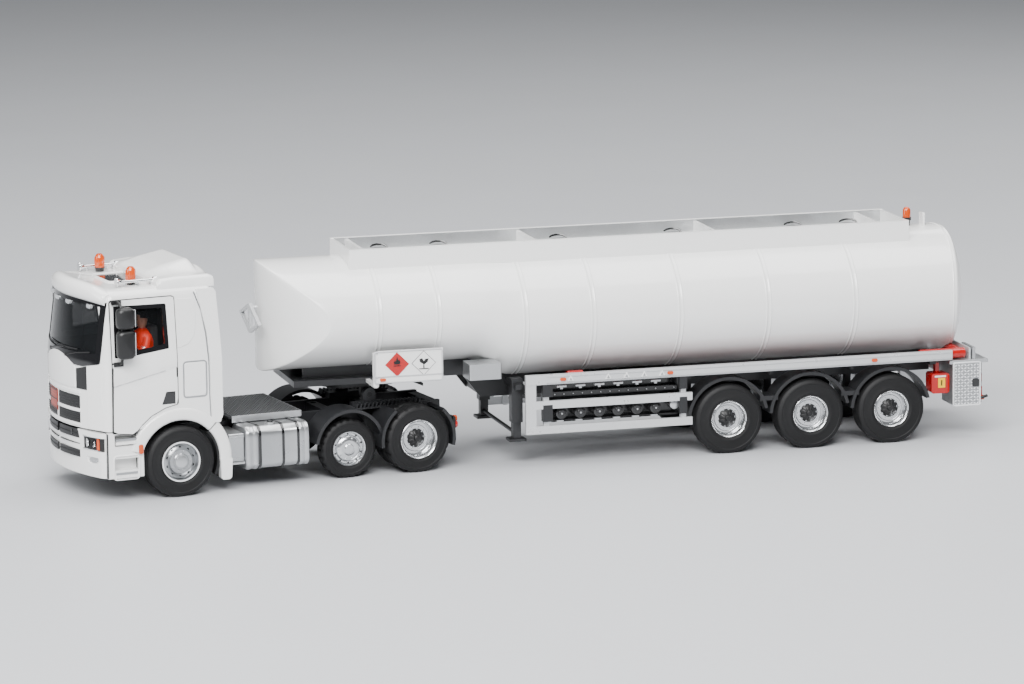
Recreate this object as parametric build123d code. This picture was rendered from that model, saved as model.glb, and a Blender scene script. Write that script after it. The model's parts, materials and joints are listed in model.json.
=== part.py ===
"""Scale model of a road tanker: three-axle tractor and three-axle tank semi-trailer.

Millimetres, +Z up, ground at Z = 0.  Both vehicles are drawn straight along X, nose towards -X,
with the kingpin axis at X = 0, Y = 0.  The tractor is then turned about the kingpin by
ARTICULATION, and the whole set is moved so that the origin is the bottom centre of its box.
"""
import math
import os

from build123d import *

os.makedirs("parts", exist_ok=True)

# ---------------------------------------------------------------- driving dimensions
ARTICULATION = 9.4          # degrees that the tractor is turned about the kingpin at rest
SIDE = 25.0                 # half width over the wheels and side rails
RUNNING = 0.05              # radial clearance of every turning or sliding fit
GAP = 0.15                  # gap between neighbouring loose panels

STEER_X = -66.0             # axle positions along X
LIFT_X = -11.4
DRIVE_X = 10.4
TRAILER_AXLE_X = 137.6      # middle trailer axle
TRAILER_PITCH = 26.2

STEER_R = 10.6              # tyre radii
LIFT_R = 8.9
DRIVE_R = 10.2
TRAILER_R = 10.7
RIM_R = 6.0                 # rim lip radius of the full-size wheels
LIFT_RIM_R = 5.3
STEER_TYRE_W = 6.8
LIFT_TYRE_W = 5.0
DRIVE_TYRE_W = 5.9
TWIN_GAP = 0.7
TRAILER_TYRE_W = 7.4
LIFT_SIDE = 22.6            # outer face of the lift axle tyres
PIN_R = 1.0                 # wheel pins

CAB_FRONT = -95.0
CAB_REAR = -53.6
CAB_HALF_W = 24.5
CAB_CORNER_X = -90.2        # where the bowed front meets the sides
CAB_BOTTOM = 21.4
CAB_BELT = 41.0
CAB_SHOULDER = 59.6
CAB_ROOF = 62.6
CAB_WALL = 1.1
CAB_TAPER = 2.0             # how far each side leans in from belt to shoulder
TILT_X = -93.4              # cab tilt axis
TILT_Z = 19.7

FRAME_BOTTOM = 13.6         # tractor frame rails
FRAME_TOP = 18.6
FRAME_HALF_W = 9.5
FRAME_WEB = 1.6
FRAME_FRONT = -91.5
FRAME_REAR = 24.0

BUMPER_BOTTOM = 7.5
BUMPER_TOP = 20.9
BUMPER_MID_TOP = 18.2       # lower edge of the open slot under the cab front
SLOT_INNER_Y = 1.2
SLOT_OUTER_Y = 12.0
ARCH_R = 12.5               # opening over the steered wheels

COUPLING_Z = 26.4           # top of the fifth wheel
FIFTH_WHEEL_Z = 22.6        # its pitch axis
KINGPIN_R = 1.4

TANK_NOSE = -30.0
TANK_TAIL = 192.9
TANK_TOP = 63.5
TANK_HALF_W = 24.6
NECK_BOTTOM = 30.2
BELLY_BOTTOM = 24.4
NECK_END = 33.0
BELLY_START = 46.0
NOSE_R = 26.4               # upright cylinder that rounds the nose
TAIL_R = 44.3               # dished rear end
TANK_WALL = 1.2

COAMING_FRONT = -4.0
COAMING_REAR = 173.6
COAMING_HALF_W = 12.6
COAMING_TOP = 67.0
COAMING_WALL = 0.9

RAIL_TOP = 28.0             # side rail of the trailer
RAIL_H = 3.0
RAIL_FRONT = 47.0
RAIL_REAR = 183.4
GUARD_FRONT = 50.2
GUARD_REAR = 99.5
GUARD_MID = 19.9
GUARD_LOW = 12.3
GUARD_H = 2.4

BEAM_BOTTOM = 19.4          # trailer frame beams
BEAM_Y = 8.6
BEAM_W = 1.8
SCREW_R = 1.25              # display screw holes, M3 tapping size
SCREW_DEPTH = 4.6

LEG_X = 45.5                # landing legs
LEG_Y = 19.0

TRAILER_AXLES = [TRAILER_AXLE_X + n * TRAILER_PITCH for n in (-1, 0, 1)]

parts = {}


# ---------------------------------------------------------------- helpers
def block(x0, x1, y0, y1, z0, z1):
    """A box between two corners."""
    centre = Pos((x0 + x1) / 2, (y0 + y1) / 2, (z0 + z1) / 2)
    return centre * Box(x1 - x0, y1 - y0, z1 - z0)


def rod_x(y, z, x0, x1, r):
    """A round bar along X."""
    return Pos((x0 + x1) / 2, y, z) * Rot(0, 90, 0) * Cylinder(r, x1 - x0)


def rod_y(x, z, y0, y1, r):
    """A round bar along Y."""
    return Pos(x, (y0 + y1) / 2, z) * Rot(90, 0, 0) * Cylinder(r, y1 - y0)


def rod_z(x, y, z0, z1, r):
    """A round bar along Z."""
    return Pos(x, y, (z0 + z1) / 2) * Cylinder(r, z1 - z0)


def slab_y(points, y0, y1):
    """An X-Z outline extruded from y0 to y1."""
    face = make_face(Polyline(*[(x, y0, z) for x, z in points], close=True))
    return extrude(face, amount=y1 - y0, dir=(0, 1, 0))


def other_side(shape):
    """The same shape mirrored across the centre plane."""
    return mirror(shape, Plane.XZ)


def pair(shape):
    """A left and a right copy, as separate solids."""
    return [shape, other_side(shape)]


def fused(shapes):
    """One solid out of touching shapes."""
    result = shapes[0]
    for shape in shapes[1:]:
        result = result + shape
    return result


def keep(name, shapes, on_tractor=False):
    """Store a node as separate solids; tractor nodes are turned about the kingpin."""
    items = shapes if isinstance(shapes, list) else [shapes]
    solids = [solid for item in items for solid in item.solids()]
    if on_tractor:
        solids = [Rot(0, 0, ARTICULATION) * solid for solid in solids]
    parts[name] = solids


def ring_y(x, z, y0, y1, r_out, r_in):
    """A tube along Y."""
    return rod_y(x, z, y0, y1, r_out) - rod_y(x, z, y0 - 1, y1 + 1, r_in)


# ---------------------------------------------------------------- wheels
def tyre(x, r, rim_r, y_out, width, shoulder=0.9):
    """A tyre on the near side: y_out is its outer face, its inner face is towards Y = 0."""
    half = width / 2
    profile = Polyline(
        (rim_r - 0.2, -half + 0.5), (rim_r + 0.3, -half + 0.1), (r - 2.4, -half),
        (r - shoulder, -half + 0.25), (r, -half + shoulder + 0.3), (r, half - shoulder - 0.3),
        (r - shoulder, half - 0.25), (r - 2.4, half), (rim_r + 0.3, half - 0.1),
        (rim_r - 0.2, half - 0.5), close=True,
    )
    body = revolve(make_face(profile), Axis.Y)
    return Pos(x, -y_out + half, r) * body


def rim(x, r, rim_r, y_out, width, dish, hub_r, hub_out, bore_r, blind=False):
    """A wheel disc with its rim barrel; dish is the depth of the disc behind the outer face."""
    seat = rim_r - 0.2
    barrel_in = rim_r - 0.8
    face_y = -y_out + dish
    inner_y = -y_out + width - 0.5
    barrel = ring_y(x, r, -y_out + 0.5, inner_y, seat, barrel_in)
    disc = rod_y(x, r, face_y, face_y + 1.2, barrel_in + 0.1)
    hub = rod_y(x, r, -y_out + hub_out, inner_y, hub_r)
    wheel = barrel + disc + hub
    bore_start = -y_out + hub_out + 1.0 if blind else face_y - 5
    wheel = wheel - rod_y(x, r, bore_start, inner_y + 1, bore_r)
    hand_holes = 8
    hole_r = (barrel_in + hub_r) / 2
    for n in range(hand_holes):
        turn = 2 * math.pi * n / hand_holes
        hole = rod_y(x + hole_r * math.cos(turn), r + hole_r * math.sin(turn),
                     face_y - 0.5, face_y + 2, 0.55)
        wheel = wheel - hole
    return wheel


def wheel_pin(x, r, half_length):
    """The steel pin that joins a left and a right wheel."""
    return rod_y(x, r, -half_length, half_length, PIN_R)


def axle_wheels(prefix, x, r, rim_r, y_out, tyre_w, dish, hub_out, twin, on_tractor):
    """Both wheels of a through axle: a rims-and-pin node and a tyres node."""
    hub_r = 2.3
    wheel_w = 2 * tyre_w + TWIN_GAP if twin else tyre_w
    wheel = rim(x, r, rim_r, y_out, wheel_w, dish, hub_r, hub_out, PIN_R, blind=True)
    pin = wheel_pin(x, r, y_out - hub_out - 1.0)
    tyres = pair(tyre(x, r, rim_r, y_out, tyre_w))
    if twin:
        tyres += pair(tyre(x, r, rim_r, y_out - tyre_w - TWIN_GAP, tyre_w))
    keep(prefix + "_rims", pair(wheel) + [pin], on_tractor)
    keep(prefix + "_tyres", tyres, on_tractor)


def make_wheels():
    axle_wheels("lift_axle", LIFT_X, LIFT_R, LIFT_RIM_R, LIFT_SIDE, LIFT_TYRE_W, 1.0, 0.2,
                False, True)
    axle_wheels("drive_axle", DRIVE_X, DRIVE_R, RIM_R, SIDE, DRIVE_TYRE_W, 4.6, 1.6, True, True)
    for number, x in enumerate(TRAILER_AXLES, start=1):
        axle_wheels(f"trailer_axle_{number}", x, TRAILER_R, RIM_R, SIDE, TRAILER_TYRE_W,
                    4.2, 1.2, False, False)


# ---------------------------------------------------------------- steering
STEER_PIN_Y = 15.6
STEER_PIN_R = 0.8
STUB_R = 0.9
ARM_LENGTH = 6.5
ARM_Y = 14.9
ARM_Z = 7.4
TIE_PIN_R = 0.45
FAR_EYE_PLAY = 0.2          # the arms toe in, so the far eye needs room as the wheels steer


def make_steering():
    beam = block(STEER_X - 1.3, STEER_X + 1.3, -13.6, 13.6, 9.2, 11.2)
    seat = block(STEER_X - 1.3, STEER_X + 1.3, -8.5, 8.5, 11.2, FRAME_BOTTOM)
    fork = []
    for z0, z1 in ((5.6, 7.0), (14.0, 15.4)):
        fork.append(block(STEER_X - 1.3, STEER_X + 1.3, 13.6, STEER_PIN_Y + 1.3, z0, z1))
    fork.append(block(STEER_X - 1.3, STEER_X + 1.3, 12.4, 13.6, 5.6, 15.4))
    fork.append(rod_z(STEER_X, STEER_PIN_Y, 5.6, 15.4, STEER_PIN_R))
    fork = fused(fork)
    keep("front_axle_beam", fused([beam, seat, fork, other_side(fork)]), True)

    wheel_w = STEER_TYRE_W
    for name, side in (("left", 1), ("right", -1)):
        block_body = block(STEER_X - 1.2, STEER_X + 1.2, -STEER_PIN_Y - 1.6, -STEER_PIN_Y + 1.3,
                           7.0 + GAP, 14.0 - GAP)
        stub = rod_y(STEER_X, STEER_R, -SIDE + 1.2, -STEER_PIN_Y - 1.2, STUB_R)
        arm = block(STEER_X, STEER_X + ARM_LENGTH + 0.9, -ARM_Y - 0.9, -ARM_Y + 0.9,
                    ARM_Z, ARM_Z + 1.0)
        tie_pin = rod_z(STEER_X + ARM_LENGTH, -ARM_Y, ARM_Z - 1.4, ARM_Z + 0.5, TIE_PIN_R)
        knuckle = fused([block_body, stub, arm, tie_pin])
        knuckle = knuckle - rod_z(STEER_X, -STEER_PIN_Y, 0, 20, STEER_PIN_R + RUNNING)
        wheel = rim(STEER_X, STEER_R, RIM_R, SIDE, wheel_w, 1.4, 2.4, 0.2, STUB_R + RUNNING,
                    blind=True)
        rubber = tyre(STEER_X, STEER_R, RIM_R, SIDE, wheel_w)
        if side < 0:
            knuckle = other_side(knuckle)
            wheel = other_side(wheel)
            rubber = other_side(rubber)
        keep(f"steering_knuckle_{name}", knuckle, True)
        keep(f"front_rim_{name}", wheel, True)
        keep(f"front_tyre_{name}", rubber, True)

    rod = block(STEER_X + ARM_LENGTH - 0.9, STEER_X + ARM_LENGTH + 0.9, -ARM_Y - 0.9, ARM_Y + 0.9,
                ARM_Z - 1.2, ARM_Z - GAP)
    near_eye = rod_z(STEER_X + ARM_LENGTH, -ARM_Y, 0, 20, TIE_PIN_R + RUNNING)
    far_eye = rod_z(STEER_X + ARM_LENGTH, ARM_Y, 0, 20, TIE_PIN_R + FAR_EYE_PLAY)
    keep("tie_rod", rod - near_eye - far_eye, True)


# ---------------------------------------------------------------- tractor chassis
AXLE_TUBE_R = 2.0
LIFT_POST_R = 0.9
LIFT_POST_Y = 5.4


def make_chassis():
    rail = block(FRAME_FRONT, FRAME_REAR, FRAME_HALF_W - FRAME_WEB, FRAME_HALF_W,
                 FRAME_BOTTOM, FRAME_TOP)
    pieces = [rail, other_side(rail)]
    for x in (FRAME_FRONT + 1.5, -58.0, -44.0, -28.0, LIFT_X, 3.0, FRAME_REAR - 1.6):
        pieces.append(block(x - 1.6, x + 1.6, -FRAME_HALF_W + 0.5, FRAME_HALF_W - 0.5,
                            FRAME_BOTTOM + 0.6, FRAME_TOP - 0.4))
    # screw boss
    pieces.append(rod_z(-36.0, 0, FRAME_BOTTOM - 1.0, FRAME_TOP, 2.6))
    pieces.append(block(-44.0, -28.0, -1.2, 1.2, FRAME_BOTTOM + 0.6, FRAME_TOP - 0.4))
    # engine and gearbox relief moulded under the cab
    pieces.append(block(-86.0, -69.0, -7.9, 7.9, 10.6, FRAME_TOP))
    pieces.append(block(-62.4, -50.0, -4.5, 4.5, 11.8, FRAME_TOP))
    # fifth wheel bearing blocks
    for x0, x1 in ((-5.0, 5.0),):
        foot = block(x0, x1, 7.9, 11.6, FRAME_TOP - 0.4, FIFTH_WHEEL_Z - 2.4)
        ear = block(x0 + 3.0, x1 - 3.0, 10.0, 11.6, FIFTH_WHEEL_Z - 2.5, FIFTH_WHEEL_Z)
        ear = ear + rod_y(0, FIFTH_WHEEL_Z, 10.0, 11.6, 2.0)
        pieces += [foot, ear, other_side(foot), other_side(ear)]
    # cab tilt arms and pins
    arm = block(FRAME_FRONT - 0.3, FRAME_FRONT + 3.0, 7.4, 9.4, FRAME_BOTTOM, TILT_Z + 0.6)
    hook = block(TILT_X - 0.9, FRAME_FRONT + 0.5, 7.4, 9.4, TILT_Z - 0.9, TILT_Z + 0.7)
    pin = rod_y(TILT_X, TILT_Z, 5.0, 8.4, 0.6)
    pieces += [arm, hook, pin, other_side(arm), other_side(hook), other_side(pin)]
    # drive axle housing with its hangers
    tube = rod_y(DRIVE_X, DRIVE_R, -10.6, 10.6, AXLE_TUBE_R)
    hanger = block(DRIVE_X - 1.5, DRIVE_X + 1.5, 7.9, 9.4, DRIVE_R, FRAME_BOTTOM + 0.5)
    bulb = rod_y(DRIVE_X, DRIVE_R, -3.5, 3.5, 3.2)
    pieces += [tube, hanger, other_side(hanger), bulb]
    # stand for the air lines behind the cab
    stand = block(-50.6, -49.4, 3.0, 4.4, FRAME_TOP - 0.4, 30.0)
    stand = stand + block(-50.6, -49.4, -4.4, 4.4, 28.6, 30.0)
    pieces += [stand, block(-52.6, -47.4, -9.0, 9.0, FRAME_TOP - 1.2, FRAME_TOP)]
    frame = fused(pieces)
    frame = frame - rod_y(DRIVE_X, DRIVE_R, -12, 12, PIN_R + RUNNING)
    frame = frame - rod_z(-36.0, 0, FRAME_BOTTOM - 2.0, FRAME_BOTTOM - 1.0 + SCREW_DEPTH, SCREW_R)
    for y in (-LIFT_POST_Y, LIFT_POST_Y):
        frame = frame - rod_z(LIFT_X, y, 5, FRAME_TOP + 1, LIFT_POST_R + RUNNING)
    keep("chassis_frame", frame, True)


def make_lift_carrier():
    tube = rod_y(LIFT_X, LIFT_R, -LIFT_SIDE + LIFT_TYRE_W + 0.6, LIFT_SIDE - LIFT_TYRE_W - 0.6, 1.9)
    pieces = [tube]
    for y in (-LIFT_POST_Y, LIFT_POST_Y):
        pieces.append(rod_z(LIFT_X, y, LIFT_R, FRAME_TOP - 0.8, LIFT_POST_R))
    carrier = fused(pieces) - rod_y(LIFT_X, LIFT_R, -20, 20, PIN_R + RUNNING)
    keep("lift_axle_carrier", carrier, True)


def arch_strip(x, z, r, thick, y0, y1, start, stop):
    """A curved mudguard between two angles, 0 degrees towards +X and 90 degrees up."""
    ring = ring_y(x, z, y0, y1, r + thick, r)
    steps = 4
    reach = 2.2 * (r + thick)
    wedge = [(x, z)]
    for n in range(steps + 1):
        turn = math.radians(start + (stop - start) * n / steps)
        wedge.append((x + reach * math.cos(turn), z + reach * math.sin(turn)))
    return ring & slab_y(wedge, y0 - 1, y1 + 1)


def make_tractor_mudguards():
    lift = arch_strip(LIFT_X, LIFT_R + 0.9, 10.2, 1.0, -23.4, -13.2, 12, 172)
    lift_stay = block(LIFT_X - 1, LIFT_X + 1, -13.4, -FRAME_HALF_W, FRAME_TOP - 2.4, FRAME_TOP - 1.0)
    front = arch_strip(DRIVE_X, DRIVE_R, 11.2, 1.0, -24.6, -12.6, 128, 188)
    rear = arch_strip(DRIVE_X, DRIVE_R, 11.2, 1.0, -24.6, -12.6, -14, 46)
    front_stay = block(DRIVE_X - 9.4, DRIVE_X - 7.9, -13.2, -FRAME_HALF_W, 16.6, 18.2)
    rear_stay = block(DRIVE_X + 9.2, DRIVE_X + 10.7, -13.2, -FRAME_HALF_W, 14.4, 16.0)
    near = [fused([lift, lift_stay]), fused([front, front_stay]), fused([rear, rear_stay])]
    keep("tractor_mudguards", near + [other_side(item) for item in near], True)


def make_tractor_fittings():
    # fuel tank on the left, exhaust box on the right
    tank_face = make_face(Polyline(
        (-45.0, -23.6, 5.4), (-45.0, -23.6, 14.4), (-45.0, -20.0, 18.4), (-45.0, -11.6, 18.4),
        (-45.0, -11.6, 5.4), close=True))
    tank = extrude(tank_face, amount=20.2, dir=(1, 0, 0))
    tank = fillet(tank.edges().filter_by(Axis.X), 1.2)
    cap = rod_z(-36.5, -17.4, 18.4, 19.2, 1.2)
    keep("fuel_tank", fused([tank, cap]), True)
    straps = []
    grown = offset(tank_face.face(), amount=0.35)
    for x in (-40.6, -33.2, -28.4):
        band = Pos(x + 45.0 - 0.45, 0, 0) * extrude(grown, amount=0.9, dir=(1, 0, 0))
        band = band - tank
        band = band - cap
        straps.append(band & block(-60, 0, -26, -11.7, 0, 30))
    for x in (-40.6, -28.4):
        bracket = block(x - 0.8, x + 0.8, -11.6, -FRAME_HALF_W, 13.9, 17.4)
        straps.append(bracket)
    keep("fuel_tank_straps", straps, True)
    box = block(-50.0, -45.3, -22.4, -FRAME_HALF_W, 8.3, 16.8)
    box = fillet(box.edges().filter_by(Axis.X), 0.5)
    keep("battery_box", box, True)
    silencer = block(-50.0, -25.0, FRAME_HALF_W, 23.4, 6.0, 17.6)
    silencer = chamfer(silencer.edges().filter_by(Axis.X), 1.4)
    pipe = rod_x(19.0, 7.6, -25.0, -22.4, 1.1)
    keep("exhaust_box", fused([silencer, pipe]), True)

    deck = block(-47.0, -23.8, -15.0, 15.0, 19.9, 20.5)
    deck = deck - block(-48.0, -43.5, 3.0, 9.0, 19, 22)
    feet = [block(x, x + 1.4, y - 0.8, y + 0.8, FRAME_TOP, 19.9)
            for x in (-45.5, -26.5) for y in (-8.7, 8.7)]
    ramp_deck = fused([deck] + feet)
    keep("catwalk_plate", ramp_deck, True)

    lamps = block(23.0, 24.2, -22.6, -17.0, 12.6, 15.2)
    stay = block(FRAME_REAR - 1.4, FRAME_REAR, -17.0, -FRAME_HALF_W, 13.4, 14.6)
    keep("tail_lamps", pair(fused([lamps, stay])), True)


def make_fifth_wheel():
    plate = rod_z(0, 0, COUPLING_Z - 1.6, COUPLING_Z, 12.5)
    plate = plate & block(-13, 13, -9.6, 9.6, 0, 40)
    horns = block(0, 15.0, -8.6, 8.6, COUPLING_Z - 1.6, COUPLING_Z)
    plate = plate + horns
    plate = plate - rod_z(0, 0, 0, 40, KINGPIN_R + RUNNING)
    throat = slab_y([(0, 0), (16, 0), (16, 40), (0, 40)], -KINGPIN_R - RUNNING, KINGPIN_R + RUNNING)
    mouth = extrude(make_face(Polyline((6, 0, 0), (16, -4.5, 0), (16, 4.5, 0), close=True)),
                    amount=40, dir=(0, 0, 1))
    plate = plate - throat - mouth
    ramp = slab_y([(11, COUPLING_Z - 1.6), (15, COUPLING_Z - 1.6), (19, COUPLING_Z - 3.4),
                   (19, COUPLING_Z - 2.4), (15, COUPLING_Z)], 4.6, 8.6)
    lug = block(-2.0, 2.0, 8.2, 9.6, FIFTH_WHEEL_Z, COUPLING_Z - 1.6)
    lug = lug + rod_y(0, FIFTH_WHEEL_Z, 8.2, 9.6, 2.0)
    pin = rod_y(0, FIFTH_WHEEL_Z, 8.2, 11.6, 0.8)
    pieces = [plate, ramp, other_side(ramp), lug, other_side(lug), pin, other_side(pin)]
    keep("fifth_wheel_plate", fused(pieces), True)
    # the bearing blocks take the plate's pins
    frame = parts["chassis_frame"][0]
    for y0, y1 in ((9.9, 11.7), (-11.7, -9.9)):
        cut = rod_y(0, FIFTH_WHEEL_Z, y0, y1, 0.8 + RUNNING)
        frame = frame - Rot(0, 0, ARTICULATION) * cut
    parts["chassis_frame"] = frame.solids()


# ---------------------------------------------------------------- cab
def cab_outline(z, inset=0.0, lean=0.0):
    """Plan of the cab at height z; inset shrinks it, lean pulls its front back."""
    half = CAB_HALF_W - inset
    corner = CAB_CORNER_X + inset + lean
    nose = CAB_FRONT + inset + lean
    rear = CAB_REAR - inset
    outline = (
        ThreePointArc((corner, -half, z), (nose, 0, z), (corner, half, z))
        + Polyline((corner, half, z), (rear, half, z), (rear, -half, z), (corner, -half, z))
    )
    face = make_face(outline)
    front = face.vertices().filter_by(lambda v: v.X < (corner + rear) / 2)
    back = face.vertices().filter_by(lambda v: v.X > (corner + rear) / 2)
    face = fillet(front, 3.2 - min(inset, 1.5))
    return fillet([v for v in face.vertices() if abs(v.X - rear) < 0.01], 1.8 - min(inset, 1.2))


def cab_solid(inset=0.0):
    """The cab's filled shape; with an inset it is the space inside the walls."""
    lower = loft([cab_outline(CAB_BOTTOM if inset == 0 else CAB_BOTTOM - 1, inset),
                  cab_outline(CAB_BELT, inset)])
    upper = loft([cab_outline(CAB_BELT, inset), cab_outline(CAB_SHOULDER, inset + CAB_TAPER)])
    top = loft([cab_outline(CAB_SHOULDER, inset + CAB_TAPER),
                cab_outline(CAB_ROOF - inset, inset + CAB_TAPER + 3.0)])
    return lower + upper + top


WINDSCREEN = (41.4, 58.8)
SIDE_WINDOW = [(-86.0, 43.7), (-80.0, 43.9), (-69.6, 45.3), (-69.8, 57.3), (-84.8, 57.5)]
GRILLE_SLOTS = ((27.2, 30.6), (23.0, 26.0))
LOWER_SLOTS = ((12.5, 14.7),)


def slot_cuts(rows, deep):
    cuts = []
    for z0, z1 in rows:
        cut = block(CAB_FRONT - 2, CAB_FRONT + deep, SLOT_INNER_Y, SLOT_OUTER_Y, z0, z1)
        cuts += [cut, other_side(cut)]
    return cuts


VISOR_BOW_R = 47.0          # plan radius of the lip over the windscreen
VISOR_BOW_X = CAB_FRONT + 1.4 + VISOR_BOW_R
DEFLECTOR_STATIONS = (      # X, height at the side, half way, and on the ridge
    (-71.2, 63.4, 64.0, 65.8),
    (-66.0, 63.8, 65.2, 67.4),
    (-58.0, 63.9, 65.2, 68.4),
    (-53.6, 63.9, 64.8, 65.8),
)
RIDGE_HALF_W = 3.5
DEFLECTOR_HALF_W = 21.0


def deflector(inset):
    """The roof deflector; with an inset, the space under it, open at the back."""
    sections = []
    for number, (x, low, mid, high) in enumerate(DEFLECTOR_STATIONS):
        half = DEFLECTOR_HALF_W - inset
        station = x + (inset if number == 0 else 0)
        station = station + (1.0 if inset and number == 3 else 0)
        floor = 60.0
        ridge = RIDGE_HALF_W - inset / 2
        points = [(-half, floor), (-half, low - inset), (-14.0, mid - inset), (-ridge, high - inset),
                  (ridge, high - inset), (14.0, mid - inset), (half, low - inset), (half, floor)]
        wire = Polyline(*[(station, y, z) for y, z in points], close=True)
        sections.append(make_face(wire))
    return loft(sections, ruled=True)


def make_cab():
    outer = cab_solid()
    inner = cab_solid(CAB_WALL)
    shell = outer - inner
    skirt = block(-79.8, -57.5, CAB_HALF_W - 1.3, CAB_HALF_W - 0.1, 17.4, CAB_BOTTOM + 0.5)
    shell = shell + skirt + other_side(skirt)
    wheel_opening = rod_y(STEER_X, STEER_R, -30, 30, ARCH_R)
    shell = shell - wheel_opening
    lip = arch_strip(STEER_X, STEER_R, ARCH_R, 3.2, CAB_HALF_W - 1.3, CAB_HALF_W + 0.3, 46.5, 146)
    shell = shell + lip + other_side(lip)
    screen = block(CAB_FRONT - 3, -88.2, -30, 30, *WINDSCREEN)
    window = slab_y(SIDE_WINDOW, -30, 30)
    hatch = block(-80.0, -70.0, -7.0, 7.0, CAB_SHOULDER + 1, CAB_ROOF + 2)
    shell = shell - screen - window - hatch
    for cut in slot_cuts(GRILLE_SLOTS, 5):
        shell = shell - cut
    visor = slab_y([(-93.6, 59.6), (-92.8, 62.8), (-91.2, 64.3), (-88.6, 63.9), (-86.2, 62.0),
                    (-89.1, 59.4)], -21.0, 21.0)
    bow = rod_z(VISOR_BOW_X, 0, 50, 70, VISOR_BOW_R) - rod_z(VISOR_BOW_X, 0, 49, 71, VISOR_BOW_R - 3.5)
    visor = (visor & bow) - inner
    shell = shell + visor
    lug = block(TILT_X - 1.2, TILT_X + 1.2, 5.2, 7.0, TILT_Z, CAB_BOTTOM + 1.0)
    lug = lug + rod_y(TILT_X, TILT_Z, 5.2, 7.0, 1.2)
    lug = lug - rod_y(TILT_X, TILT_Z, 4, 8.5, 0.6 + RUNNING)
    floor = block(CAB_FRONT + 2.2, CAB_REAR - 1.0, -CAB_HALF_W + 5, CAB_HALF_W - 5,
                  CAB_BOTTOM, CAB_BOTTOM + 1.0)
    floor = floor & inner
    shell = fused([shell, floor, lug, other_side(lug)])
    keep("cab_shell", shell, True)

    glass_inner = cab_solid(CAB_WALL - 0.2)
    pane_zone = block(CAB_FRONT - 3, -88.3, -30, 30, WINDSCREEN[0] + 0.1, WINDSCREEN[1] - 0.1)
    shrunk = [(-85.8, 43.9), (-80.0, 44.1), (-69.8, 45.5), (-70.0, 57.1), (-84.7, 57.3)]
    glass = (outer - glass_inner)
    panes = [(glass & pane_zone) - visor, glass & slab_y(shrunk, -30, 0), glass & slab_y(shrunk, 0, 30)]
    keep("cab_glazing", panes, True)

    mesh_plate = block(CAB_FRONT + 2.9, CAB_FRONT + 3.7, -12.6, 12.6, 22.6, 31.2)
    keep("front_grille", mesh_plate & inner, True)

    # air deflector on the roof: low at its sides, with a hump behind the hatch
    bonnet = deflector(0.0) - deflector(1.0)
    bonnet = bonnet - outer
    keep("roof_spoiler", bonnet, True)


HORN_Y = 16.2
HORN_Z = 64.4


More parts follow.
